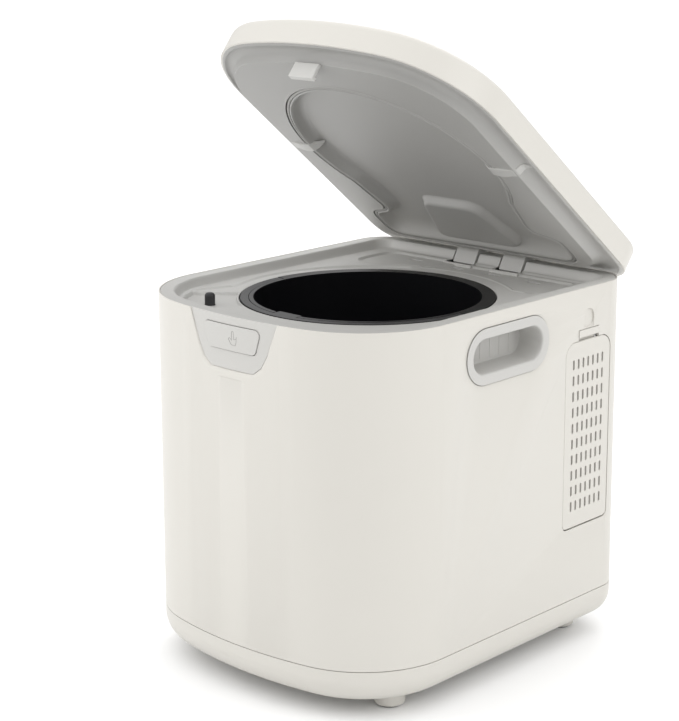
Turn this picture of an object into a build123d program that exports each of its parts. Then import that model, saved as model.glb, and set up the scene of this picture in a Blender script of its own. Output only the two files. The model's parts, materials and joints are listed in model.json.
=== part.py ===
"""Electric food waste composter: cabinet with hinged lid, lift-out bucket, geared stirrer and filter.

Millimetres, +Z up, front towards -Y.  The origin is on the floor under the middle of the machine
as it stands with its lid open.
"""
import os
from math import atan2, cos, pi, radians, sin, sqrt

from build123d import *

os.makedirs("parts", exist_ok=True)

# ---------------------------------------------------------------- cabinet
width = 280.0
depth = 331.0
rim_z = 310.0            # top of the cabinet wall
seam_z = 43.0            # joint between the base tray and the upper shell
underside_z = 13.0       # underside of the base tray
front_corner = 84.0
rear_corner = 28.0
crown = 361.0            # radius of the bowed front
wall = 2.5
base_edge = 22.0         # rounding under the base tray
seam_gap = 0.6
lap = 5.0                # tongue of the base tray inside the upper shell
lip = 1.2                # cream edge left outside the deck
deck_fit = 0.3
running_fit = 0.05       # radial, pins in bores
part_gap = 0.4           # between pieces that move past each other
plate_gap = 0.3          # between faces that meet when closed

# ---------------------------------------------------------------- lid and hinge
hinge_in = 6.0           # hinge axis in front of the rear face
hinge_drop = 12.0        # hinge axis below the rim
open_angle = 39.0        # lid as it stands
fully_open = 85.0
lid_gap = 1.5
lid_side = 18.0
lid_edge = 6.0
lid_wall = 2.5
overhang = (sin(radians(open_angle)) * (hinge_drop + lid_gap + lid_side)
            + cos(radians(open_angle)) * (hinge_in - lid_edge) + lid_edge - hinge_in)

mid_y = -overhang / 2
front_y = mid_y - depth / 2
rear_y = mid_y + depth / 2
crown_y = front_y + crown
corner_x = width / 2 - front_corner
corner_y = crown_y - sqrt((crown - front_corner) ** 2 - corner_x ** 2)

hinge_y = rear_y - hinge_in
hinge_z = rim_z - hinge_drop
turn = radians(open_angle)
lid_frame = Plane(
    origin=(0,
            hinge_y - cos(turn) * hinge_y - sin(turn) * hinge_z,
            hinge_z + sin(turn) * hinge_y - cos(turn) * hinge_z),
    x_dir=(1, 0, 0), z_dir=(0, sin(turn), cos(turn)))
lid_up = Axis((0, 0, 0), (0, sin(turn), cos(turn)))

# ---------------------------------------------------------------- deck and well
rim_band = 13.0          # flat grey band round the top
ledge_inset = 17.0
ledge_drop = 7.5         # deck level below the rim
deck_thick = 5.0
deck_slab = 2.2
deck_edge = 9.5          # inset of the sunk part of the deck
ledge_z = rim_z - ledge_drop
deck_under = ledge_z - deck_thick
well_y = mid_y - 8.5
well_lip_top = 110.0
well_lip_low = 106.0
flange_drop = 8.8        # top of the bucket flange below the rim
flange_top = rim_z - flange_drop
gasket_thick = 1.5
shelf_thick = 2.3
well_bore = 98.0
hub_wall = 6.0           # wall of the deck round the well

recess_half = 105.0      # shallow recess behind the well
recess_rear = 25.5       # its rear edge in front of the rear face
recess_front = 78.0      # its front corners in front of the rear face
recess_deep = 1.3
recess_ring = 123.0
recess_corner = 14.0
vent_long = 14.0
vent_wide = 4.0
vent_places = ((-66.0, 37.5), (-20.0, 35.5), (20.0, 35.5), (66.0, 37.5))

pocket_inset = 19.0      # corner pocket with the lid switch
pocket_ring = 113.5
pocket_right = -70.0
pocket_back = 50.0       # in front of the middle
pocket_deep = 2.5

# ---------------------------------------------------------------- hinge details
arm_x = 26.0
arm_wide = 24.0
arm_barrel = 6.0
arm_front = 18.3         # front face ahead of the axis, lid closed
notch_gap = 2.0
notch_front = 20.5
notch_floor = 24.0       # below the rim
notch_wall = 1.5
wall_notch = 20.0        # depth of the notch in the rear wall
pin_radius = 2.5
ear_thick = 1.0
ear_gap = 0.6

# ---------------------------------------------------------------- lid inside
plateau_inset = 17.6
plateau_rear = 28.5
plateau_rear_radius = 22.0
plateau_drop = 6.5       # below the rim with the lid closed
band_inset = 14.0
band_rear = 21.0
band_rise = 0.5
liner_edge = 2.8
liner_rise = 2.0
liner_thick = 2.0
liner_clear = 15.6       # bare cylinder round the hinge axis
groove_radius = 102.0
groove_y = mid_y - 12.5
groove_wide = 4.6
groove_deep = 2.7
groove_wall = 2.5
panel_rise = 2.0         # panel inside the groove, above the rim
bell_half = 105.0        # width of the rear part of the groove
waist_half = 79.0
waist_y = rear_y - 79.5
shoulder_y = rear_y - 70.5
bell_rear = rear_y - 32.0
bell_start = radians(31.0)
bell_blend = 12.0
bell_ear = 15.0
bell_corner = 17.0
seal_gap = 0.3
socket_radius = 6.0
duct_front = rear_y - 103.5
duct_rear = rear_y - 39.5
duct_front_half = 30.0
duct_rear_half = 47.0
duct_drop = 6.8          # height of the air duct cover under the panel
rib_inner = 92.0
rib_outer = 121.0
rib_thick = 4.0
rib_y = mid_y - 7.5

# ---------------------------------------------------------------- front latch
bezel_top_half = 48.0
bezel_mid_half = 37.0
bezel_low_half = 31.0
bezel_mid_drop = 26.0
bezel_low_drop = 36.0
bezel_drop = 42.0
bezel_thick = 4.0
button_top_drop = 7.0
button_low_drop = 27.0
button_top_half = 31.5
button_low_half = 25.5
button_corner = 4.5
button_proud = 0.9
button_thick = 3.0
button_travel = 2.5
hook_half = 13.0
hook_in = 15.0           # front of the hook behind the front face
hook_thick = 3.0
hook_drop = 20.0         # below the rim, lid closed
barb_deep = 2.0
barb_high = 3.0
slide_arm = 3.0
slide_high = 5.0
slide_top_drop = 14.2
housing_wall = 2.0
housing_long = 36.0

# ---------------------------------------------------------------- lid switch
plunger_x = -78.0
plunger_y = mid_y - 113.0
plunger_radius = 4.25
plunger_top = rim_z - 1.0
plunger_travel = 4.0
plunger_collar = 5.6
switch_wide = 22.0
switch_high = 24.0
switch_wall = 2.0
spring_wire = 0.6
spring_radius = 3.2
spring_pitch = 2.4

# ---------------------------------------------------------------- handle cups
cup_drop = 33.8
cup_y = mid_y + 1.5
cup_long = 103.0
cup_high = 45.0
grip_long = 86.0
grip_high = 27.0
cup_deep = 25.0
cup_wall = 2.0
cup_proud = 0.8

# ---------------------------------------------------------------- filter door
door_front = rear_y - 88.5
door_rear = rear_y - 27.0
door_top = rim_z - 44.0
door_low = rim_z - 203.0
door_thick = 2.4
door_gap = 0.4
door_shoulder = 12.0     # its upper corners
door_corner = 5.5        # its lower corners
door_hinge_up = 1.6      # axis above the lower edge
door_foot_gap = 0.9
door_pin = 0.8
door_pin_long = 2.0
slot_columns = 7
slot_rows = 10
slot_pitch_y = 6.6
slot_pitch_z = 13.5
slot_long = 8.7
slot_wide = 2.4
slot_top = 18.8          # first row below the top of the door
tab_wide = 27.0
tab_high = 6.0
tab_band = 3.0
tab_travel = 2.6
tab_catch = 1.8
scoop_wide = 13.5
scoop_high = 14.6
scoop_deep = 1.5

# ---------------------------------------------------------------- filter bay and air path
bay_deep = 33.0
bay_margin = 1.5
bay_wall = 1.5
cartridge_gap = 3.0
fan_front = rear_y - 57.5
fan_rear = rear_y - 11.5
fan_left = 42.0
fan_low = rim_z - 80.0
fan_high = rim_z - 34.0
fan_radius = 20.5
fan_hub = 7.5
fan_blades = 9
fan_ahead = 20.0         # rotor behind the open side of its housing
rotor_long = 12.0
spider_thick = 4.0
cartridge_low = 10.0     # top of the cartridge below the fan
duct_wall = 1.5
duct_left = -74.0

# ---------------------------------------------------------------- bucket
bucket_inner = 94.2
bucket_wall = 1.8
bucket_depth = 189.0
bucket_flange = 105.5
bucket_edge = 10.0
flange_high = 3.3
flange_thick = 1.4
rim_ring = 97.8
bail_inner = 98.3
bail_outer = 104.9
bail_thick = 1.5
bail_tab = 8.0
bail_tab_half = 12.0
bail_pin = 0.5
bushing_radius = 12.5
bushing_high = 3.6
bucket_floor = flange_top - bucket_depth

# ---------------------------------------------------------------- sleeve and heater
sleeve_inner = 100.0
sleeve_wall = 1.5
sleeve_gap = 2.9         # under the bucket
sleeve_hole = 20.0
heater_low = 12.0
heater_high = 50.0
heater_thick = 2.5

# ---------------------------------------------------------------- drive
gear_module = 1.5
pinion_teeth = 12
wheel_teeth = 36
gear_high = 8.0
gear_gap = 2.0
gearbox_low = 68.0
gearbox_wall = 3.0
gearbox_room = 5.0
shaft_radius = 6.0
axle_radius = 3.0
hex_flats = 12.0
hex_clear = 0.3
hex_high = 11.5
stem_radius = 9.0
hub_radius = 16.0
hub_high = 26.0
post_high = 52.0
arm_reach = 86.0
arm_high = 6.0
arm_deep = 9.0
motor_radius = 30.0
motor_high = 40.0

# ---------------------------------------------------------------- feet and small parts
foot_radius = 12.5
foot_x = 101.0
foot_front = 71.5        # behind the front face
foot_rear = 37.5         # in front of the rear face
pad_radius = 9.5
pad_high = 2.0
pad_proud = 1.2
screw_radius = 1.75
screw_head = 3.5
screw_head_high = 2.4
screw_post = 6.0
screw_front = 110.0
screw_rear = 60.0
board_long = 84.0
board_high = 60.0
board_thick = 1.6
board_x = 78.0 - width / 2
board_z = 150.0
inlet_x = 55.0 - width / 2
inlet_z = 75.0
inlet_wide = 28.0
inlet_high = 20.0
inlet_deep = 18.0

sleeve_floor = bucket_floor - bucket_wall - sleeve_gap
flange_low = flange_top - flange_high
shelf_top = flange_low - plate_gap - gasket_thick


def plan(inset, rear_inset=None, rear_radius=None):
    """Plan of the cabinet, drawn in by the given amount."""
    back = rear_y - (inset if rear_inset is None else rear_inset)
    side = width / 2 - inset
    r_back = rear_corner - inset if rear_radius is None else rear_radius
    r_side = front_corner - inset
    r_front = crown - inset
    slope = atan2(corner_y - crown_y, corner_x)
    touch = (r_front * cos(slope), crown_y + r_front * sin(slope))
    mid = (corner_x + r_side * cos(slope / 2), corner_y + r_side * sin(slope / 2))
    diagonal = r_back * (1 - sqrt(0.5))
    with BuildSketch() as face:
        with BuildLine():
            Line((-(side - r_back), back), (side - r_back, back))
            ThreePointArc((side - r_back, back), (side - diagonal, back - diagonal), (side, back - r_back))
            Line((side, back - r_back), (side, corner_y))
            ThreePointArc((side, corner_y), mid, touch)
            ThreePointArc(touch, (0, crown_y - r_front), (-touch[0], touch[1]))
            ThreePointArc((-touch[0], touch[1]), (-mid[0], mid[1]), (-side, corner_y))
            Line((-side, corner_y), (-side, back - r_back))
            ThreePointArc((-side, back - r_back), (-side + diagonal, back - diagonal), (-(side - r_back), back))
        make_face()
    return face.sketch_local


def bell(grow):
    """Bell-shaped line of the lid seal, widened by the given amount."""
    r = groove_radius
    start = (r * cos(bell_start), groove_y + r * sin(bell_start))
    corners = ((start, bell_blend), ((waist_half, waist_y), bell_blend), ((bell_half, shoulder_y), bell_ear),
               ((bell_half, bell_rear), bell_corner))
    points = [point for point, radius in corners]
    back = [(-x, y) for x, y in reversed(points)]
    with BuildSketch() as face:
        with BuildLine():
            ThreePointArc(back[-1], (0, groove_y - r), start)
            Polyline(*points, *back)
        make_face()
        for (x, y), radius in corners:
            fillet(face.vertices().filter_by_position(Axis.Y, y - 0.01, y + 0.01), radius)
        if grow:
            offset(amount=grow)
    return face.sketch_local


def gear(teeth, phase):
    """Gear blank with slim trapezoid teeth; a tooth stands at the phase angle."""
    pitch_radius = gear_module * teeth / 2
    tip = pitch_radius + 0.85 * gear_module
    root = pitch_radius - 1.15 * gear_module
    step = 2 * pi / teeth
    points = []
    for number in range(teeth):
        centre = phase + number * step
        for radius, share in ((root, -0.30), (tip, -0.11), (tip, 0.11), (root, 0.30)):
            points.append((radius * cos(centre + share * step), radius * sin(centre + share * step)))
    with BuildSketch() as face:
        Polygon(*points, align=None)
    return face.sketch_local


def upright(half_top, half_low, z_top, z_low, corner):
    """Upright trapezoid with rounded corners, drawn in X and Z."""
    with BuildSketch() as face:
        Polygon((-half_top, z_top), (half_top, z_top), (half_low, z_low), (-half_low, z_low), align=None)
        fillet(face.vertices(), corner)
    return face.sketch_local


def door_face(side_grow, top_grow, low_grow):
    """Outline of the filter door in Y and Z, with large upper corners; each side can grow."""
    with BuildSketch() as face:
        Polygon((door_front - side_grow, door_low - low_grow), (door_rear + side_grow, door_low - low_grow),
                (door_rear + side_grow, door_top + top_grow), (door_front - side_grow, door_top + top_grow),
                align=None)
        fillet(face.vertices().group_by(Axis.Y)[-1], door_shoulder + side_grow)
        fillet(face.vertices().group_by(Axis.Y)[0], door_corner + side_grow)
    return face.sketch_local


front_plane = Plane(origin=(0, 0, 0), x_dir=(1, 0, 0), z_dir=(0, -1, 0))
right_plane = Plane(origin=(0, 0, 0), x_dir=(0, 1, 0), z_dir=(1, 0, 0))
left_plane = Plane(origin=(0, 0, 0), x_dir=(0, -1, 0), z_dir=(-1, 0, 0))
lid_side_plane = Plane(origin=lid_frame.origin, x_dir=(0, cos(turn), -sin(turn)), z_dir=(1, 0, 0))

foot_places = [(side * foot_x, y) for side in (-1, 1) for y in (front_y + foot_front, rear_y - foot_rear)]
post_x = width / 2 - base_edge - 2.0
screw_places = [(side * post_x, y) for side in (-1, 1) for y in (front_y + screw_front, rear_y - screw_rear)]

# ================================================================ base tray
with BuildPart() as base_shell:
    with BuildSketch(Plane.XY.offset(underside_z)):
        add(plan(0))
    extrude(amount=seam_z - seam_gap - underside_z)
    fillet(base_shell.faces().sort_by(Axis.Z)[0].edges(), base_edge)
    with BuildPart(mode=Mode.PRIVATE) as base_room:
        with BuildSketch(Plane.XY.offset(underside_z + wall)):
            add(plan(wall))
        extrude(amount=seam_z - underside_z)
        fillet(base_room.faces().sort_by(Axis.Z)[0].edges(), base_edge - wall)
    add(base_room.part, mode=Mode.SUBTRACT)
    # tongue that centres the upper shell
    with BuildSketch(Plane.XY.offset(seam_z - lap)):
        add(plan(wall))
        add(plan(wall + 1.5), mode=Mode.SUBTRACT)
    extrude(amount=2 * lap)
    # screw posts with head recesses
    with BuildSketch(Plane.XY.offset(underside_z + wall / 2)):
        with Locations(*screw_places):
            Circle(screw_post)
    extrude(amount=seam_z - underside_z - wall / 2)
    with BuildSketch(Plane.XY.offset(underside_z)):
        with Locations(*screw_places):
            Circle(screw_head + part_gap)
    extrude(amount=wall * 2, mode=Mode.SUBTRACT)
    with BuildSketch(Plane.XY.offset(underside_z)):
        with Locations(*screw_places):
            Circle(screw_radius)
    extrude(amount=seam_z, mode=Mode.SUBTRACT)

with BuildPart() as feet:
    with BuildSketch(Plane.XY.offset(pad_proud)):
        with Locations(*foot_places):
            Circle(foot_radius)
    extrude(amount=underside_z - pad_proud)
    fillet(feet.faces().filter_by(Axis.Z).group_by(Axis.Z)[0].edges(), 2.0)
    with BuildSketch(Plane.XY.offset(pad_proud)):
        with Locations(*foot_places):
            Circle(pad_radius)
    extrude(amount=pad_high - pad_proud, mode=Mode.SUBTRACT)

with BuildPart() as foot_pads:
    with BuildSketch():
        with Locations(*foot_places):
            Circle(pad_radius)
    extrude(amount=pad_high)

with BuildPart() as base_screws:
    with BuildSketch(Plane.XY.offset(underside_z + 2 * wall - screw_head_high)):
        with Locations(*screw_places):
            Circle(screw_head)
    extrude(amount=screw_head_high)
    with BuildSketch(Plane.XY.offset(underside_z + 2 * wall - screw_head_high)):
        with Locations(*screw_places):
            Circle(screw_radius)
    extrude(amount=seam_z + 8.0 - underside_z - 2 * wall + screw_head_high)

# ================================================================ upper shell
door_mid_y = (door_front + door_rear) / 2
door_wide = door_rear - door_front
tab_top = door_top + tab_band + tab_high
grip_z = rim_z - cup_drop

with BuildSketch() as bezel_outline:
    Polygon((-bezel_top_half, rim_z), (bezel_top_half, rim_z),
            (bezel_mid_half, rim_z - bezel_mid_drop), (bezel_low_half, rim_z - bezel_low_drop),
            (bezel_low_half - 8.0, rim_z - bezel_drop), (-(bezel_low_half - 8.0), rim_z - bezel_drop),
            (-bezel_low_half, rim_z - bezel_low_drop), (-bezel_mid_half, rim_z - bezel_mid_drop),
            align=None)
    fillet(bezel_outline.vertices().filter_by_position(Axis.Y, 0, rim_z - 1.0), 6.0)

with BuildPart() as body_shell:
    with BuildSketch(Plane.XY.offset(seam_z)):
        add(plan(0))
    extrude(amount=rim_z - seam_z)
    with BuildSketch(Plane.XY.offset(seam_z)):
        add(plan(wall))
    extrude(amount=rim_z - seam_z, mode=Mode.SUBTRACT)
    with BuildSketch(Plane.XY.offset(rim_z - deck_slab)):
        add(plan(lip))
    extrude(amount=deck_slab, mode=Mode.SUBTRACT)
    # screw blocks
    with BuildSketch(Plane.XY.offset(seam_z + seam_gap)):
        with Locations(*[((abs(x) / x) * (post_x + width / 2 - wall - lap + 3.0) / 2, y) for x, y in screw_places]):
            Rectangle(width / 2 - wall - post_x + screw_post + 0.6, 2 * screw_post)
    extrude(amount=12.0)
    with BuildSketch(Plane.XY.offset(seam_z)):
        add(plan(wall - 0.01))
        add(plan(wall + 1.5 + part_gap), mode=Mode.SUBTRACT)
    extrude(amount=lap + part_gap, mode=Mode.SUBTRACT)
    with BuildSketch(Plane.XY.offset(seam_z)):
        with Locations(*screw_places):
            Circle(screw_radius)
    extrude(amount=9.0, mode=Mode.SUBTRACT)
    # handle openings
    with BuildSketch(right_plane.offset(-width)):
        with Locations((cup_y, grip_z)):
            SlotOverall(grip_long + 2 * cup_wall, grip_high + 2 * cup_wall)
    extrude(amount=2 * width, mode=Mode.SUBTRACT)
    # filter door opening with its latch window
    with BuildSketch(right_plane.offset(width / 2 - 20.0)):
        add(door_face(door_gap, door_gap, door_foot_gap))
        with Locations((door_mid_y, (tab_top + part_gap + door_top) / 2)):
            Rectangle(tab_wide + 2 * part_gap, tab_top + part_gap - door_top)
    extrude(amount=40.0, mode=Mode.SUBTRACT)
    with BuildSketch(Plane(origin=(width / 2 - door_thick / 2, door_front - door_gap - door_pin_long, 0),
                           x_dir=(1, 0, 0), z_dir=(0, 1, 0))):
        with Locations((0, -(door_low + door_hinge_up))):
            Circle(door_pin + running_fit)
    extrude(amount=door_wide + 2 * door_gap + 2 * door_pin_long, mode=Mode.SUBTRACT)
    # finger scoop above the latch
    with BuildSketch(right_plane.offset(width / 2 - scoop_deep)):
        with Locations((door_mid_y, tab_top + part_gap + 1.0 + scoop_high / 2)):
            Rectangle(scoop_wide, scoop_high)
            fillet(vertices().group_by(Axis.Z)[-1], scoop_wide / 2 - 0.2)
    extrude(amount=scoop_deep + 1.0, mode=Mode.SUBTRACT)
    # notches for the hinge arms
    for side in (-1, 1):
        with BuildSketch(Plane.XY.offset(rim_z - wall_notch)):
            with Locations((side * arm_x, rear_y)):
                Rectangle(arm_wide + 2 * notch_gap, 4 * wall)
        extrude(amount=wall_notch + 1.0, mode=Mode.SUBTRACT)
    # bezel opening
    with BuildSketch(front_plane.offset(-front_y - 12.0)):
        add(bezel_outline.sketch_local)
    extrude(amount=30.0, mode=Mode.SUBTRACT)
    # mains inlet opening
    with BuildSketch(front_plane.offset(-rear_y - 1.0)):
        with Locations((inlet_x, inlet_z)):
            Rectangle(inlet_wide, inlet_high)
    extrude(amount=4 * wall, mode=Mode.SUBTRACT)

# ================================================================ deck
with BuildPart() as top_deck:
    with BuildSketch(Plane.XY.offset(rim_z - deck_slab)):
        add(plan(lip + deck_fit))
    extrude(amount=deck_slab)
    with BuildSketch(Plane.XY.offset(deck_under)):
        add(plan(deck_edge))
    extrude(amount=rim_z - deck_slab - deck_under)
    with BuildSketch(Plane.XY.offset(shelf_top - shelf_thick)):
        with Locations((0, well_y)):
            Circle(well_lip_low + hub_wall)
    extrude(amount=deck_under - shelf_top + shelf_thick)
    with BuildSketch(Plane.XY.offset(rim_z - notch_floor - notch_wall)):
        with Locations(*[(side * arm_x, rear_y - (hinge_in + notch_front + notch_wall + wall + 0.1) / 2)
                         for side in (-1, 1)]):
            Rectangle(arm_wide + 2 * notch_gap + 2 * notch_wall,
                      hinge_in + notch_front + notch_wall - wall - 0.1)
    extrude(amount=notch_floor + notch_wall - deck_slab)
    with BuildPart(mode=Mode.PRIVATE) as tray:
        with BuildSketch(Plane.XY.offset(ledge_z)):
            add(plan(ledge_inset))
        with BuildSketch(Plane.XY.offset(rim_z)):
            add(plan(rim_band))
        loft(ruled=True)
    add(tray.part, mode=Mode.SUBTRACT)
    with BuildPart(mode=Mode.PRIVATE) as well_lip:
        with BuildSketch(Plane.XY.offset(flange_top)):
            with Locations((0, well_y)):
                Circle(well_lip_low)
        with BuildSketch(Plane.XY.offset(ledge_z)):
            with Locations((0, well_y)):
                Circle(well_lip_top)
        loft()
    add(well_lip.part, mode=Mode.SUBTRACT)
    with BuildSketch(Plane.XY.offset(shelf_top)):
        with Locations((0, well_y)):
            Circle(well_lip_low)
    extrude(amount=flange_top - shelf_top, mode=Mode.SUBTRACT)
    with BuildSketch(Plane.XY.offset(shelf_top - 2 * shelf_thick)):
        with Locations((0, well_y)):
            Circle(well_bore)
    extrude(amount=4 * shelf_thick, mode=Mode.SUBTRACT)
    # recess behind the well with its air slots
    with BuildSketch(Plane.XY.offset(ledge_z - recess_deep)):
        with Locations((0, rear_y - (recess_rear + recess_front) / 2)):
            RectangleRounded(2 * recess_half, recess_front - recess_rear, recess_corner)
        with Locations((0, well_y)):
            Circle(recess_ring, mode=Mode.SUBTRACT)
    extrude(amount=recess_deep, mode=Mode.SUBTRACT)
    with BuildSketch(Plane.XY.offset(deck_under)):
        with Locations(*[(x, rear_y - y) for x, y in vent_places]):
            SlotOverall(vent_long, vent_wide)
    extrude(amount=deck_thick, mode=Mode.SUBTRACT)
    # corner pocket round the lid switch
    with BuildSketch(Plane.XY.offset(ledge_z - pocket_deep)):
        add(plan(pocket_inset))
        with Locations((pocket_right + width / 2, mid_y)):
            Rectangle(width, 2 * depth, mode=Mode.SUBTRACT)
        with Locations((0, mid_y - pocket_back + depth / 2)):
            Rectangle(2 * width, depth, mode=Mode.SUBTRACT)
        with Locations((0, well_y)):
            Circle(pocket_ring, mode=Mode.SUBTRACT)
    extrude(amount=pocket_deep, mode=Mode.SUBTRACT)
    with BuildSketch(Plane.XY.offset(deck_under)):
        with Locations((plunger_x, plunger_y)):
            Circle(plunger_radius + part_gap)
    extrude(amount=deck_thick, mode=Mode.SUBTRACT)
    # slot for the hook
    hook_front_y = front_y + hook_in
    with BuildSketch(Plane.XY.offset(deck_under)):
        with Locations((0, hook_front_y - 1.5 + (hook_thick + barb_deep + 6.0) / 2)):
            Rectangle(2 * hook_half + 4.0, hook_thick + barb_deep + 6.0)
    extrude(amount=rim_z - deck_under, mode=Mode.SUBTRACT)
    # hinge pockets
    for side in (-1, 1):
        with BuildSketch(Plane.XY.offset(rim_z - notch_floor)):
            with Locations((side * arm_x, rear_y - (hinge_in + notch_front - 10.0) / 2)):
                Rectangle(arm_wide + 2 * notch_gap, hinge_in + notch_front + 10.0)
        extrude(amount=notch_floor + 1.0, mode=Mode.SUBTRACT)
    with BuildSketch(Plane(origin=(-width / 2, hinge_y, hinge_z), x_dir=(0, 1, 0), z_dir=(1, 0, 0))):
        Circle(pin_radius)
    extrude(amount=width, mode=Mode.SUBTRACT)

with BuildPart() as well_gasket:
    with BuildSketch(Plane.XY.offset(shelf_top)):
        with Locations((0, well_y)):
            Circle(well_lip_low - 0.5)
            Circle(well_bore + 1.0, mode=Mode.SUBTRACT)
    extrude(amount=gasket_thick)

# ================================================================ sleeve, heater, thermostat
shelf_low = shelf_top - shelf_thick
with BuildPart() as well_sleeve:
    with BuildSketch(Plane.XY.offset(sleeve_floor - sleeve_wall)):
        with Locations((0, well_y)):
            Circle(sleeve_inner + sleeve_wall)
    extrude(amount=shelf_low - sleeve_floor + sleeve_wall)
    with BuildSketch(Plane.XY.offset(shelf_low - sleeve_wall)):
        with Locations((0, well_y)):
            Circle(well_lip_low + hub_wall - 3.0)
    extrude(amount=sleeve_wall)
    with BuildSketch(Plane.XY.offset(sleeve_floor)):
        with Locations((0, well_y)):
            Circle(sleeve_inner)
    extrude(amount=shelf_low - sleeve_floor, mode=Mode.SUBTRACT)
    with BuildSketch(Plane.XY.offset(sleeve_floor - sleeve_wall)):
        with Locations((0, well_y)):
            Circle(sleeve_hole)
    extrude(amount=sleeve_wall, mode=Mode.SUBTRACT)

with BuildPart() as heater_band:
    with BuildSketch(Plane.XY.offset(sleeve_floor + heater_low)):
        with Locations((0, well_y)):
            Circle(sleeve_inner + sleeve_wall + heater_thick)
            Circle(sleeve_inner + sleeve_wall, mode=Mode.SUBTRACT)
    extrude(amount=heater_high)

with BuildPart() as thermostat:
    with BuildSketch(front_plane.offset(-well_y - sleeve_inner - sleeve_wall - 9.0)):
        with Locations((0, sleeve_floor + heater_low + heater_high + 16.0)):
            Rectangle(24.0, 14.0)
    extrude(amount=9.0)
    with BuildSketch(Plane.XY.offset(sleeve_floor)):
        with Locations((0, well_y)):
            Circle(sleeve_inner + sleeve_wall)
    extrude(amount=2 * bucket_depth, mode=Mode.SUBTRACT)

# ================================================================ handle cups
with BuildPart() as handle_cup_right:
    with BuildSketch(right_plane.offset(width / 2)):
        with Locations((cup_y, grip_z)):
            SlotOverall(cup_long, cup_high)
    extrude(amount=cup_proud)
    with BuildSketch(right_plane.offset(width / 2 - cup_deep)):
        with Locations((cup_y, grip_z)):
            SlotOverall(grip_long + 2 * cup_wall, grip_high + 2 * cup_wall)
    extrude(amount=cup_deep)
    with BuildSketch(right_plane.offset(width / 2 - cup_deep + cup_wall)):
        with Locations((cup_y, grip_z)):
            SlotOverall(grip_long, grip_high)
    extrude(amount=cup_deep, mode=Mode.SUBTRACT)

with BuildPart() as handle_cup_left:
    with BuildSketch(left_plane.offset(width / 2)):
        with Locations((-cup_y, grip_z)):
            SlotOverall(cup_long, cup_high)
    extrude(amount=cup_proud)
    with BuildSketch(left_plane.offset(width / 2 - cup_deep)):
        with Locations((-cup_y, grip_z)):
            SlotOverall(grip_long + 2 * cup_wall, grip_high + 2 * cup_wall)
    extrude(amount=cup_deep)
    with BuildSketch(left_plane.offset(width / 2 - cup_deep + cup_wall)):
        with Locations((-cup_y, grip_z)):
            SlotOverall(grip_long, grip_high)
    extrude(amount=cup_deep, mode=Mode.SUBTRACT)

# ================================================================ front bezel, button, latch
with BuildPart() as front_bezel:
    with BuildSketch(front_plane.offset(-front_y - 14.0)):
        add(bezel_outline.sketch_local)
    extrude(amount=20.0)
    with BuildPart(mode=Mode.PRIVATE) as bezel_ring:
        with BuildSketch(Plane.XY.offset(seam_z)):
            add(plan(0))
            add(plan(bezel_thick), mode=Mode.SUBTRACT)
        extrude(amount=rim_z - seam_z)
        with BuildSketch(Plane.XY.offset(rim_z - deck_slab)):
            add(plan(lip + deck_fit))
        extrude(amount=deck_slab, mode=Mode.SUBTRACT)
    add(bezel_ring.part, mode=Mode.INTERSECT)
    with BuildSketch(front_plane.offset(-front_y - 14.0)):
        add(upright(button_top_half + part_gap, button_low_half + part_gap,
                    rim_z - button_top_drop + part_gap, rim_z - button_low_drop - part_gap,
                    button_corner + part_gap))
    extrude(amount=20.0, mode=Mode.SUBTRACT)

with BuildPart() as open_button:
    with BuildSketch(front_plane.offset(-front_y - 14.0)):
        add(upright(button_top_half, button_low_half, rim_z - button_top_drop, rim_z - button_low_drop,
                    button_corner))
    extrude(amount=20.0)
    with BuildPart(mode=Mode.PRIVATE) as button_ring:
        with BuildSketch(Plane.XY.offset(seam_z)):
            add(plan(-button_proud))
            add(plan(button_thick), mode=Mode.SUBTRACT)
        extrude(amount=rim_z - seam_z)
    add(button_ring.part, mode=Mode.INTERSECT)

slide_top = rim_z - slide_top_drop
slide_low = slide_top - slide_high
slide_outer = hook_half + 3.0 + slide_arm
nose_y = hook_front_y + hook_thick + 0.5
with BuildPart() as latch_slide:
    with BuildSketch(Plane.XY.offset(slide_low)):
        with Locations((0, (front_y + button_thick + nose_y + 8.0) / 2)):
            Rectangle(2 * slide_outer, nose_y + 8.0 - front_y - button_thick)
        with Locations((0, (front_y + button_thick + 3.0 + nose_y + 5.5) / 2)):
            Rectangle(2 * (slide_outer - slide_arm), nose_y + 5.5 - front_y - button_thick - 3.0,
                      mode=Mode.SUBTRACT)
    extrude(amount=slide_high)
    with BuildSketch(Plane.XY.offset(slide_low)):
        add(plan(button_thick))
    extrude(amount=slide_high, mode=Mode.INTERSECT)
    with BuildSketch(Plane.XY.offset(rim_z - hook_drop + barb_high + 0.5)):
        with Locations((0, nose_y + 3.0)):
            Rectangle(2 * hook_half, 6.0)
    extrude(amount=slide_top - rim_z + hook_drop - barb_high - 0.5)

with BuildPart() as latch_housing:
    housing_front = front_y + bezel_thick + 5.0
    with BuildSketch(Plane.XY.offset(slide_low - part_gap - housing_wall)):
        with Locations((0, housing_front + housing_long / 2)):
            Rectangle(2 * (slide_outer + part_gap + housing_wall), housing_long)
    extrude(amount=deck_under - slide_low + part_gap + housing_wall)
    with BuildSketch(Plane.XY.offset(slide_low - part_gap)):
        with Locations((0, housing_front + housing_long / 2 - housing_wall)):
            Rectangle(2 * (slide_outer + part_gap), housing_long)
    extrude(amount=slide_high * 4, mode=Mode.SUBTRACT)
    with BuildSketch(Plane.XY.offset(slide_low - part_gap - housing_wall)):
        with Locations((0, hook_front_y + hook_thick)):
            Rectangle(2 * hook_half + 4.0, 14.0)
    extrude(amount=housing_wall, mode=Mode.SUBTRACT)

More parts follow.
